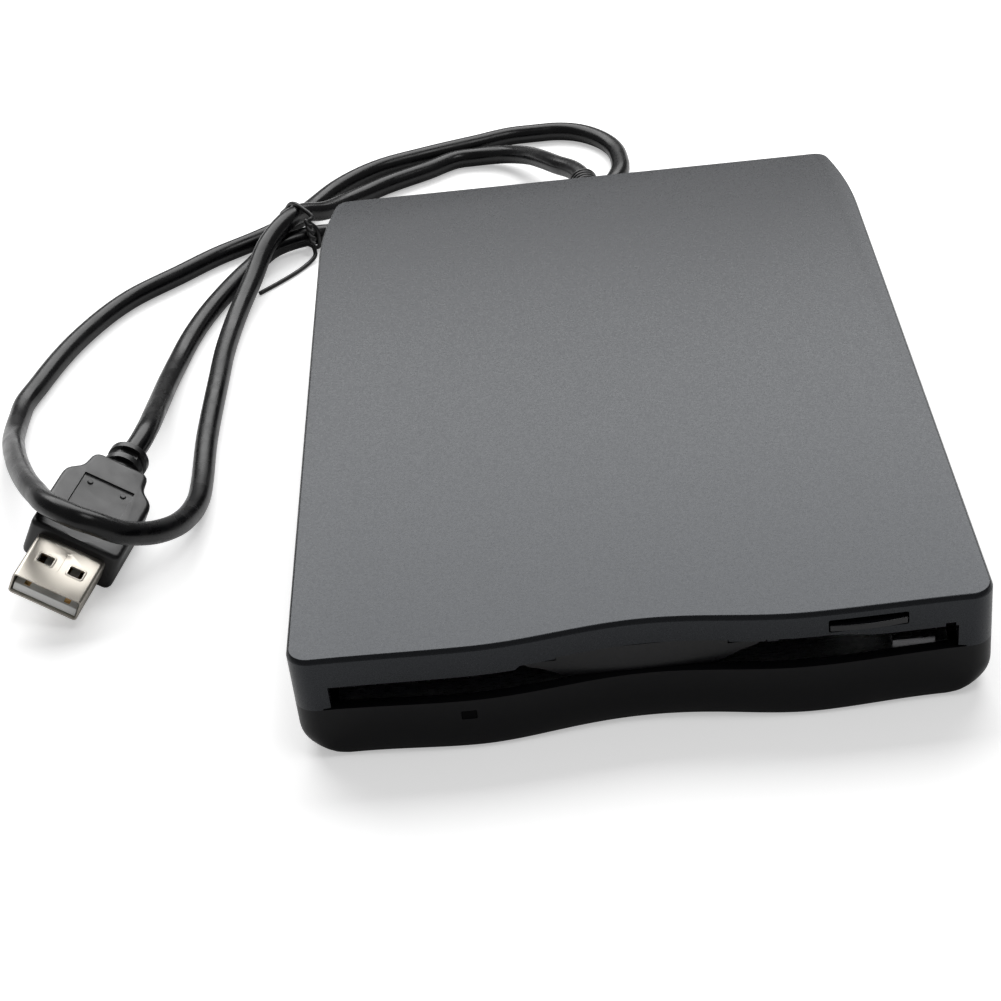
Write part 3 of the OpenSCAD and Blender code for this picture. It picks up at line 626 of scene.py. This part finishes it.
class DriveLight(bpy.types.PropertyGroup):
    """Strength of the studio lights."""

    key: FloatProperty(
        name="Key", description="Power of the large light behind the drive", subtype="POWER",
        default=11.3, min=0,
    )
    front: FloatProperty(
        name="Front", description="Power of the small light over the front", subtype="POWER",
        default=1.7, min=0,
    )
    room: FloatProperty(
        name="Room", description="Strength of the even light", subtype="FACTOR",
        default=0.19, min=0, max=2,
    )


# ---- builders ----


# slopes of the upper edge from the side to the top, in degrees, with the length of each in mm
RIM = (
    (84, 0.04), (77, 0.04), (70, 0.045), (66, 0.2), (60, 0.25), (54, 0.25),
    (40, 0.05), (26, 0.05), (12, 0.05), (3, 0.02),
)


def build_top_shell(shape):
    """Upper shell with its slot, button opening, ears and posts."""
    plan = case_outline(*UPPER_WAVE)
    rings = [[(x, y, PARTING) for x, y in plan]]
    drop = shape.top_edge * sum(math.sin(math.radians(tilt)) * run for tilt, run in RIM)
    d = 0.0
    rings.append([(x, y, CASE_TOP - drop) for x, y in plan])
    for tilt, run in RIM:
        d += shape.top_edge * run * math.cos(math.radians(tilt))
        drop -= shape.top_edge * run * math.sin(math.radians(tilt))
        rings.append([(x, y, CASE_TOP - drop) for x, y in inset(plan, d)])
    shell = loft("top_shell", rings)
    cut(
        shell,
        prism("cavity", inset(plan, WALL), PARTING - 1, ROOF_UNDER),
        front_prism("slot_inner", slot_edge(14.48), FRONT + 2.7, FRONT + 5),
        front_prism("slot_outer", slot_edge(14.2), FRONT - 3, FRONT + 2.75),
        front_prism(
            "button_hole",
            rounded_rect(BUTTON_X - BUTTON_W / 2 - 0.2, BUTTON_X + BUTTON_W / 2 + 0.2, 14.95, 17.2, 0.35),
            FRONT - 1, FRONT + 5,
        ),
        rod("cord_hole", 2.6, 0, 6, along_y(RELIEF_X, REAR - 4, PARTING)),
    )
    extras = []
    for s in (-1, 1):
        ear = block("ear", min(18.3 * s, 20 * s), max(18.3 * s, 20 * s), -70.4, -68.3, 13, ROOF_UNDER + 0.3)
        cut(ear, rod("ear_hole", 0.46, 0, 4, shift(s * 19.2 - 2, FLAP_Y, HINGE_Z) @ turned(90, "Y")))
        post = rod("post", 2.8, 9.0, ROOF_UNDER + 0.3, shift(s * BOSS_X, BOSS_Y))
        cut(post, rod("post_hole", 1.15, 8, 14, shift(s * BOSS_X, BOSS_Y)))
        extras += [ear, post]
        inner = CASE_HALF - WALL
        near = sorted((s * (inner - 1.1), s * (inner - 0.1)))
        root = sorted((s * (inner - 0.6), s * (inner + 0.4)))
        for y0, y1 in ((20, 30), (-50, -40)):
            extras.append(block("tongue", *near, y0, y1, 8, ROOF_UNDER + 0.3))
            extras.append(block("tongue_root", *root, y0, y1, PARTING + 0.1, ROOF_UNDER + 0.2))
    add(shell, *extras)
    soften(shell, shape.seam, 3, 30)
    return finish_piece(shell, FINISH["case_top"], "case", "case_top", "top_cover")


def build_low_shell(shape):
    """Lower shell with the indicator opening, bosses and foot recesses."""
    plan = case_outline(*LOWER_WAVE)
    r = shape.low_edge
    rings = []
    for k in range(13):
        a = math.radians(90 * k / 12)
        z, share = SHELL_LOW + shape.low_rise * (1 - math.cos(a)), 1 - math.sin(a)
        ring = case_outline(LOWER_WAVE[0] + LOW_DIP * share, LOWER_WAVE[1], CORNER_R + LOW_CORNER * share)
        rings.append([(x, y, z) for x, y in inset(ring, r * share, LOW_FRONT)])
    rings.append([(x, y, PARTING) for x, y in plan])
    shell = loft("low_shell", rings)
    cut(shell, prism("cavity", inset(plan, WALL), FLOOR_TOP, PARTING + 1))
    extras = []
    for s in (-1, 1):
        extras.append(rod("boss", 3.2, FLOOR_TOP - 0.3, 9.0, shift(s * BOSS_X, BOSS_Y)))
        for y in (-40, 44):
            extras.append(rod("pad", 2.2, FLOOR_TOP - 0.3, 3.0, shift(s * 44, y)))
    extras += [
        block("rib_a", -28, -26, 57, 68, FLOOR_TOP - 0.3, 4.2),
        block("rib_b", 12, 14, 57, 68, FLOOR_TOP - 0.3, 4.2),
        block("rib_c", 32, 34, 57, 60.5, FLOOR_TOP - 0.3, 4.2),
    ]
    add(shell, *extras)
    led_hole = rounded_rect(LED_X - LED_W / 2 - 0.03, LED_X + LED_W / 2 + 0.03, 6.02, 7.58, 0.2)
    holes = [
        front_prism("led_hole", led_hole, FRONT - 1, FRONT + 5),
        rod("cord_hole", 2.6, 0, 6, along_y(RELIEF_X, REAR - 4, PARTING)),
    ]
    for s in (-1, 1):
        holes.append(rod("bore", 1.25, 0, 10, shift(s * BOSS_X, BOSS_Y)))
        holes.append(rod("sink", 2.15, 0, 2.6, shift(s * BOSS_X, BOSS_Y)))
        for y in (-40, 44):
            holes.append(rod("pilot", 0.65, 1.2, 4, shift(s * 44, y)))
        for y in (REAR - FOOT_IN, FRONT + FOOT_IN):
            holes.append(rod("recess", 4.1, 0, 1.3, shift(s * FOOT_X, y)))
    cut(shell, *holes)
    soften(shell, shape.seam, 3, 30)
    return finish_piece(shell, FINISH["case_low"], "case", "case_low", "bottom_case")


def build_feet():
    """Four rubber feet with a rounded rim and a shallow dish."""
    profile = [
        (0, 1.3), (3.85, 1.3), (4.0, 1.15), (4.0, 0.35), (3.9, 0.12), (3.65, 0.0), (2.9, 0.0),
        (2.6, 0.12), (0, 0.12),
    ]
    feet = []
    for s in (-1, 1):
        for y in (REAR - FOOT_IN, FRONT + FOOT_IN):
            feet.append(lathe("foot", profile, shift(s * FOOT_X, y)))
    for other in feet[1:]:
        merge(feet[0], other)
    feet[0].name = "feet"
    soften(feet[0], 0)
    return finish_piece(feet[0], FINISH["soft_black"], "case", "soft_black", "rubber_feet")


def merge(obj, other):
    """Puts another mesh's faces into obj without touching either."""
    body = bmesh.new()
    body.from_mesh(obj.data)
    body.from_mesh(other.data)
    body.to_mesh(obj.data)
    body.free()
    tool = other.data
    bpy.data.objects.remove(other)
    bpy.data.meshes.remove(tool)
    return obj


def build_led_window():
    """Small window of the indicator, flush with the front."""
    y0 = FRONT + 0.05
    outline = rounded_rect(LED_X - LED_W / 2, LED_X + LED_W / 2, 6.05, 7.55, 0.2)
    pane = front_prism("led_pane", outline, y0, FRONT + 5)
    soften(pane, 0.12, 3)
    return finish_piece(pane, FINISH["lens"], "case", "lens", "led_window")


# front view of the flap's right half, from its lower middle round to its upper middle
FLAP_SIDE = (
    (0, 9.6), (10.2, 9.6), (10.8, 9.66), (11.4, 9.8), (12, 10.03), (12.7, 10.4), (13.6, 10.9),
    (14.5, 11.35), (15.3, 11.65), (16.2, 11.9), (16.7, 12.08), (17.15, 12.38), (17.6, 12.85),
    (17.85, 13.3), (18, 13.7), (16.4, 13.7), (16.4, 12.8), (12.6, 12.8), (12.6, 14.25), (0, 14.25),
)


def build_flap():
    """Dust flap with its barrel and pins."""
    outline = list(FLAP_SIDE) + [(-x, z) for x, z in reversed(FLAP_SIDE[1:-1])]
    plate = front_prism("flap", outline, FLAP_Y - 0.5, FLAP_Y + 0.5)
    hinge = shift(0, FLAP_Y, HINGE_Z) @ turned(90, "Y")
    for x0, x1 in ((-12.6, 12.6), (-18, -16.4), (16.4, 18)):
        add(plate, rod("barrel", 0.5, x0, x1, hinge, 24))
    add(plate, rod("core", 0.3, -19.2, 19.2, hinge, 20))
    soften(plate, 0.1, 2)
    return finish_piece(plate, FINISH["trim"], "flap", "case_low", "dust_flap")


def build_button():
    """Eject button whose face follows the front wave, with a rounded upper rim."""
    n = 24
    x0, x1 = BUTTON_X - BUTTON_W / 2, BUTTON_X + BUTTON_W / 2
    front = []
    for i in range(n + 1):
        x = x0 + (x1 - x0) * i / n
        front.append((x, wave(x, *UPPER_WAVE) - 0.1 - 0.4 * math.sin(math.pi * i / n)))
    s0, s1, back, end = BUTTON_X - 3.5, BUTTON_X + 3.5, -69.5, -60
    plan = front + [(x1, back), (s1, back), (s1, end), (s0, end), (s0, back), (x0, back)]
    key = prism("button", plan, 15.2, 16.25)
    add(key, block("button_root", s0, s1, -64.8, end, 14.85, 15.3))
    soften(key, 0.45, 5)
    return finish_piece(key, FINISH["button"], "ejector", "case_low", "eject_button")


def build_relief():
    """Ribbed strain relief behind the rear wall."""
    profile = [(0, 0.0), (3.5, 0.0)]
    n = 14
    for i in range(n):
        s = 1.2 + (RELIEF_L - 1.2) * i / n
        pitch = (RELIEF_L - 1.2) / n
        big, small = 3.5 - 0.6 * i / n, 2.85 - 0.35 * i / n
        profile += [
            (big - 0.12, s), (big, s + 0.12), (big, s + pitch * 0.5), (big - 0.12, s + pitch * 0.62),
            (small, s + pitch * 0.66), (small, s + pitch * 0.97),
        ]
    profile += [(2.45, RELIEF_L - 0.05), (2.25, RELIEF_L), (0, RELIEF_L)]
    boot = lathe("relief", profile, shift(RELIEF_X, 72.8, PARTING) @ turned(LEAN, "Z") @ turned(-90, "X"))
    neck = [(0, 0), (2.5, 0), (2.5, 2.35), (3.45, 2.35), (3.6, 2.5), (3.6, 3.5), (3.45, 3.7), (0, 3.7)]
    collar = lathe("collar", neck, along_y(RELIEF_X, 70.5, PARTING))
    flange = front_prism("flange", rounded_rect(RELIEF_X - 4.5, RELIEF_X + 4.5, 6.4, 12.6, 0.8), 69.4, 70.9)
    add(boot, collar, flange)
    soften(boot, 0)
    return finish_piece(boot, FINISH["soft_black"], "case", "soft_black", "strain_relief")


def relief_end():
    """Where the cord leaves the strain relief, in millimetres."""
    a = math.radians(LEAN)
    return Vector((RELIEF_X - RELIEF_L * math.sin(a), REAR + RELIEF_L * math.cos(a), PARTING))


def build_cord():
    """The cord on its route, from the strain relief to the plug's collar."""
    points = [relief_end(), *ROUTE, plug_point(NECK_X, 0, 0)]
    cord = tube("cord", points, CORD_D / 2, 6, 8)
    first, last = cord.data.splines[0].bezier_points[0], cord.data.splines[0].bezier_points[-1]
    a = math.radians(LEAN)
    leaving, arriving = Vector((-math.sin(a), math.cos(a), 0)), PLUG_TURN @ Vector((1, 0, 0))
    for spot, way, reach in ((first, leaving, 1.2), (last, arriving, 2.2)):
        spot.handle_left_type = spot.handle_right_type = "FREE"
        spot.handle_left = spot.co - way * reach * MM
        spot.handle_right = spot.co + way * reach * MM
    return finish_piece(cord, FINISH["cord"], "case", "soft_black", "usb_cord")


# the tie: where its loop stands, the loop in its own plane, the twist's two ends and the long tail
TIE_AT = Vector((-60, 93.4, 0))
TIE_SIDE = Vector((-0.65, 0.76, 0))
TIE_R = 0.45
TIE_LOOP = (
    (-6.1, 7.7), (-3.8, 8.75), (-1, 9.2), (1, 8.65), (3, 6.75), (5.3, 4.7), (6.15, 2.8), (5.6, 1.2),
    (4.6, 0.47), (0, 0.47), (-4.9, 0.47), (-6.7, 1.1), (-7.5, 2.9), (-7.1, 5.3),
)
TIE_K0, TIE_K1 = Vector((-57, 88.3, 7.4)), Vector((-56.2, 85.4, 3.6))
TIE_TAIL = (
    (-56.1, 84.6, 1.5), (-57.4, 82.6, 0.6), (-59.7, 79.5, 0.47), (-62.7, 76.2, 0.47), (-67.1, 71.9, 0.47),
)


def twist_point(i, side):
    """A point of the tie's twist."""
    a = math.radians(95 * i + side)
    around = Vector((0.4 * math.cos(a), 0.33 * math.sin(a), 0.22 * math.sin(a)))
    return TIE_K0 + (TIE_K1 - TIE_K0) * (i / 7) + around


def build_tie():
    """Wire tie round the three strands."""
    points = [twist_point(i, 0) for i in range(7, -1, -1)]
    points += [TIE_AT + p * TIE_SIDE + Vector((0, 0, z)) for p, z in TIE_LOOP]
    points += [twist_point(i, 180) for i in range(8)]
    points += [Vector(p) for p in TIE_TAIL]
    tie = tube("tie", points, TIE_R, 5, 4)
    return finish_piece(tie, FINISH["soft_black"], "case", "black_plastic", "cord_tie")


PLUG_PLACE = Matrix.Translation(PLUG_AT) @ PLUG_TURN.to_4x4()

# half of the grip's plan in the plug's frame, from the shell's end to the neck
GRIP_SIDE = (
    (-10.5, 6.9), (-10.62, 7.3), (-10.95, 7.7), (-11.5, 7.95), (-12.2, 8), (-15, 8), (-18, 8),
    (-21, 8), (-24, 8), (-25, 7.95), (-25.8, 7.75), (-26.5, 7.3), (-27.1, 6.7), (-27.7, 6.1),
    (-28.3, 5.7), (-29, 5.45), (-30, 5.3), (-31, 5.15), (-31.6, 4.9), (-32.05, 4.4), (-32.3, 3.7),
)


def build_grip():
    """Moulded grip of the plug with its recessed panel and two dots."""
    half, r = 4.0, 0.9
    plan = [(x, -y) for x, y in reversed(GRIP_SIDE)] + [(x, y) for x, y in GRIP_SIDE]
    rings = []
    for k in range(7):
        a = math.radians(90 * k / 6)
        rings.append([(x, y, -half + r * (1 - math.cos(a))) for x, y in inset(plan, r * (1 - math.sin(a)))])
    for k in range(6, -1, -1):
        a = math.radians(90 * k / 6)
        rings.append([(x, y, half - r * (1 - math.cos(a))) for x, y in inset(plan, r * (1 - math.sin(a)))])
    grip = loft("grip", rings, PLUG_PLACE)
    x0, x1, wide = -26.3, -15.5, 4.5
    bow = [math.radians(a) for a in range(-80, 90, 10)]
    panel = [(x0, -wide), (x1, -wide), *[(x1 + wide * math.cos(a), wide * math.sin(a)) for a in bow]]
    panel += [(x1, wide), (x0, wide)]
    cut(grip, prism("panel", panel, half - 0.35, half + 1, PLUG_PLACE))
    dot = [(0, half - 0.45), (0.5, half - 0.45), (0.5, half - 0.2), (0.4, half - 0.1), (0, half - 0.1)]
    for y in (-3, 3):
        add(grip, lathe("dot", dot, PLUG_PLACE @ shift(-24.8, y), 20))
    soften(grip, 0.12, 2, 40)
    return finish_piece(grip, FINISH["soft_black"], "case", "soft_black", "plug_overmould")


def build_collar():
    """Collar behind the grip: two rings with windows between them."""
    place = PLUG_PLACE @ shift(NECK_X) @ turned(90, "Y")
    profile = [
        (0, 0), (2.6, 0), (3.0, 0.1), (3.45, 0.2), (3.6, 0.35), (3.6, 1.55), (3.45, 1.7), (3.1, 1.8),
        (3.1, 3.1), (3.45, 3.2), (3.6, 3.35), (3.6, 4.55), (3.45, 4.7), (3.1, 4.8), (3.1, 6.1), (0, 6.1),
    ]
    collar = lathe("plug_neck", profile, place)
    for side in (0, 180):
        turn = PLUG_PLACE @ turned(side, "X")
        for name, x0, x1 in (("window_a", -36.9, -35.4), ("window_b", -33.9, -32.9)):
            cut(collar, block(name, x0, x1, -1.6, 1.6, 2.6, 4, turn))
    soften(collar, 0.08, 2, 40)
    return finish_piece(collar, FINISH["soft_black"], "case", "soft_black", "plug_collar")


def build_plug_shell():
    """Nickel shell of the plug with its latch windows, at the standard width and height."""
    plug_w, plug_h = 12.0, 4.5
    y_up = Matrix(((0, 0, 1, 0), (1, 0, 0, 0), (0, 1, 0, 0), (0, 0, 0, 1)))
    outer = rounded_rect(-plug_w / 2, plug_w / 2, -plug_h / 2, plug_h / 2, 0.7)
    inner = rounded_rect(-plug_w / 2 + 0.3, plug_w / 2 - 0.3, -plug_h / 2 + 0.3, plug_h / 2 - 0.3, 0.4)
    shell = prism("plug_sleeve", outer, -10.5, 0, PLUG_PLACE @ y_up)
    cut(shell, prism("mouth", inner, -11, 1, PLUG_PLACE @ y_up))
    face = plug_h / 2
    for y in (-2.65, 2.65):
        for s in (-1, 1):
            foot = rounded_rect(-6.95, -4.15, y - 1.6, y + 1.6, 0.6)
            crest = rounded_rect(-6.8, -4.3, y - 1.45, y + 1.45, 0.45)
            levels = ((foot, face - 0.1), (foot, face + 0.01), (crest, face + 0.07))
            add(shell, loft("rim", [[(a, b, s * z) for a, b in ring] for ring, z in levels], PLUG_PLACE))
        cut(shell, prism("latch", rounded_rect(-6.6, -4.5, y - 1.25, y + 1.25, 0.3), -4, 4, PLUG_PLACE))
    bowl = [(0, face - 0.14), (0.35, face - 0.12), (0.75, face + 0.05), (0.8, face + 0.2), (0, face + 0.2)]
    dish = lathe("dish", bowl, PLUG_PLACE @ shift(-8.7) @ Matrix.Diagonal((0.75, 1.1, 1, 1)), 28)
    cut(shell, dish, block("joint", -8.4, -4.0, -0.03, 0.03, face - 0.12, face + 1, PLUG_PLACE))
    soften(shell, 0.05, 2, 40)
    return finish_piece(shell, FINISH["plated"], "case", "plated", "plug_shell")


def build_tongue():
    """White insulator with its four contacts."""
    tongue = block("plug_insulator", -10.5, -0.5, -5.5, 5.5, -1.9, -0.15, PLUG_PLACE)
    soften(tongue, 0.15, 3)
    finish_piece(tongue, FINISH["white_plastic"], "case", "white_plastic", "plug_tongue")
    strips = None
    for y in (-3.5, -1, 1, 3.5):
        reach = -0.9 if abs(y) > 2 else -1.9
        strip = block("strip", -9.5, reach, y - 0.5, y + 0.5, -0.15, 0.0, PLUG_PLACE)
        strips = merge(strips, strip) if strips else strip
    strips.name = "contact_strips"
    soften(strips, 0.04, 2)
    finish_piece(strips, FINISH["gold"], "case", "gold", "plug_contacts")


def dress_nodes():
    """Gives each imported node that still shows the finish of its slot."""
    slots = {row["node"]: row["material_slot"] for row in frame["record"]["subparts"]}
    for name, node in frame["nodes"].items():
        node.data.materials.clear()
        node.data.materials.append(FINISH[slots[name]])


# ---- stage ----


FLOOR_HALF = 4.0
FLOOR_GLOW = 0.41
CAMERA_AT = Vector((-7.185, -313.675, 212.51))
CAMERA_WAY = Vector((-0.01222, 0.81858, -0.57426))
CAMERA_ROLL = -6.261
CAMERA_LENS = 77.47
CAMERA_SHIFT = -0.04995


def build_floor():
    """Pale floor that keeps the shadow."""
    mesh = bpy.data.meshes.new("floor")
    corners = [(FLOOR_HALF * x, FLOOR_HALF * y, 0) for x, y in ((-1, -1), (1, -1), (1, 1), (-1, 1))]
    mesh.from_pydata(corners, [], [(0, 1, 2, 3)])
    floor = link(mesh, "floor")
    mat, nodes, links, shader, _ = new_material("floor_paper")
    shader.inputs["Base Color"].default_value = (0.92, 0.92, 0.92, 1)
    shader.inputs["Roughness"].default_value = 0.9
    shader.inputs["Specular IOR Level"].default_value = 0.1
    path = nodes.new("ShaderNodeLightPath")
    seen = nodes.new("ShaderNodeMath")
    seen.operation = "MULTIPLY"
    seen.inputs[1].default_value = FLOOR_GLOW
    links.new(path.outputs["Is Camera Ray"], seen.inputs[0])
    shader.inputs["Emission Color"].default_value = (1, 1, 1, 1)
    links.new(seen.outputs["Value"], shader.inputs["Emission Strength"])
    mesh.materials.append(mat)


def build_world(light):
    """Even room light, white where the camera looks past the floor."""
    world = bpy.data.worlds.new("room")
    bpy.context.scene.world = world
    world.use_nodes = True
    nodes, links = world.node_tree.nodes, world.node_tree.links
    ground = nodes["Background"]
    ground.inputs["Color"].default_value = (1, 1, 1, 1)
    path = nodes.new("ShaderNodeLightPath")
    either = nodes.new("ShaderNodeMath")
    either.operation = "MAXIMUM"
    links.new(path.outputs["Is Camera Ray"], either.inputs[0])
    links.new(path.outputs["Is Transmission Ray"], either.inputs[1])
    level = nodes.new("ShaderNodeMix")
    level.data_type = "FLOAT"
    level.inputs["A"].default_value = light.room
    level.inputs["B"].default_value = 1.0
    links.new(either.outputs["Value"], level.inputs["Factor"])
    links.new(level.outputs["Result"], ground.inputs["Strength"])


def area_light(name, at, aim, power, size, size_y):
    """A soft rectangular light."""
    data = bpy.data.lights.new(name, "AREA")
    data.shape = "RECTANGLE"
    data.size = size
    data.size_y = size_y
    data.energy = power
    lamp = link(data, name)
    lamp.location = at
    lamp.rotation_euler = (Vector(aim) - Vector(at)).to_track_quat("-Z", "Y").to_euler()


def build_camera():
    """Camera at the photo's viewing angle."""
    data = bpy.data.cameras.new("view")
    camera = link(data, "view")
    data.sensor_width = 36.0
    data.lens = CAMERA_LENS
    data.shift_x = CAMERA_SHIFT
    forward = CAMERA_WAY.normalized()
    right0 = forward.cross(Vector((0, 0, 1))).normalized()
    up0 = right0.cross(forward)
    roll = math.radians(CAMERA_ROLL)
    right = right0 * math.cos(roll) + up0 * math.sin(roll)
    up = -right0 * math.sin(roll) + up0 * math.cos(roll)
    turn = Matrix((right, up, -forward)).transposed()
    camera.matrix_world = Matrix.Translation(CAMERA_AT * MM) @ turn.to_4x4()
    data.clip_start, data.clip_end = 0.01, 20
    bpy.context.scene.camera = camera


# ---- operators ----


class DRIVE_OT_finishes(bpy.types.Operator):
    """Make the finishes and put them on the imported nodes"""

    bl_idname = "drive.finishes"
    bl_label = "Finishes"

    def execute(self, context):
        make_finishes(context.scene.drive_look)
        dress_nodes()
        return {"FINISHED"}


class DRIVE_OT_case(bpy.types.Operator):
    """Build the two shells, the feet and the indicator window"""

    bl_idname = "drive.case"
    bl_label = "Case"

    def execute(self, context):
        shape = context.scene.drive_shape
        build_top_shell(shape)
        build_low_shell(shape)
        build_feet()
        build_led_window()
        return {"FINISHED"}


class DRIVE_OT_front(bpy.types.Operator):
    """Build the dust flap and the eject button"""

    bl_idname = "drive.front"
    bl_label = "Front"

    def execute(self, context):
        build_flap()
        build_button()
        return {"FINISHED"}


class DRIVE_OT_plug(bpy.types.Operator):
    """Build the plug with its grip, neck, shell and contacts"""

    bl_idname = "drive.plug"
    bl_label = "Plug"

    def execute(self, context):
        build_grip()
        build_collar()
        build_plug_shell()
        build_tongue()
        return {"FINISHED"}


class DRIVE_OT_cord(bpy.types.Operator):
    """Build the strain relief, the cord and its tie"""

    bl_idname = "drive.cord"
    bl_label = "Cord"

    def execute(self, context):
        relief_piece = build_relief()
        tie = build_tie()
        cord = build_cord()
        return {"FINISHED"}


class DRIVE_OT_stage(bpy.types.Operator):
    """Build the floor, the lights and the camera"""

    bl_idname = "drive.stage"
    bl_label = "Stage"

    def execute(self, context):
        light = context.scene.drive_light
        build_floor()
        build_world(light)
        area_light("key", (-0.05, 0.64, 0.7), (-0.02, 0.0, 0.0), light.key, 1.2, 0.7)
        area_light("front", (0.3, -0.2, 1.0), (0.0, -0.05, 0.0), light.front, 0.35, 0.35)
        build_camera()
        return {"FINISHED"}


class DRIVE_PT_panel(bpy.types.Panel):
    """Lists the settings and the operators"""

    bl_idname = "DRIVE_PT_panel"
    bl_label = "Disk Drive"
    bl_space_type = "VIEW_3D"
    bl_region_type = "UI"
    bl_category = "Disk Drive"

    def draw(self, context):
        for name in ("drive_shape", "drive_look", "drive_light"):
            group = getattr(context.scene, name)
            column = self.layout.column(align=True)
            for key in group.__annotations__:
                column.prop(group, key)
        column = self.layout.column(align=True)
        for tool in OPERATORS:
            column.operator(tool.bl_idname)


GROUPS = ((DriveShape, "drive_shape"), (DriveLook, "drive_look"), (DriveLight, "drive_light"))
OPERATORS = (DRIVE_OT_finishes, DRIVE_OT_case, DRIVE_OT_front, DRIVE_OT_plug, DRIVE_OT_cord, DRIVE_OT_stage)


def register():
    """Registers the classes and hangs the settings on the scene."""
    for group, name in GROUPS:
        bpy.utils.register_class(group)
        setattr(bpy.types.Scene, name, PointerProperty(type=group))
    for tool in (*OPERATORS, DRIVE_PT_panel):
        bpy.utils.register_class(tool)


def unregister():
    """Takes everything back."""
    for tool in reversed((*OPERATORS, DRIVE_PT_panel)):
        bpy.utils.unregister_class(tool)
    for group, name in reversed(GROUPS):
        delattr(bpy.types.Scene, name)
        bpy.utils.unregister_class(group)


def main():
    register()
    bpy.context.scene.view_settings.view_transform = "Standard"
    bpy.ops.drive.finishes()
    bpy.ops.drive.case()
    bpy.ops.drive.front()
    bpy.ops.drive.plug()
    bpy.ops.drive.cord()
    bpy.ops.drive.stage()
    bpy.context.view_layer.update()


if __name__ == "__main__":
    main()
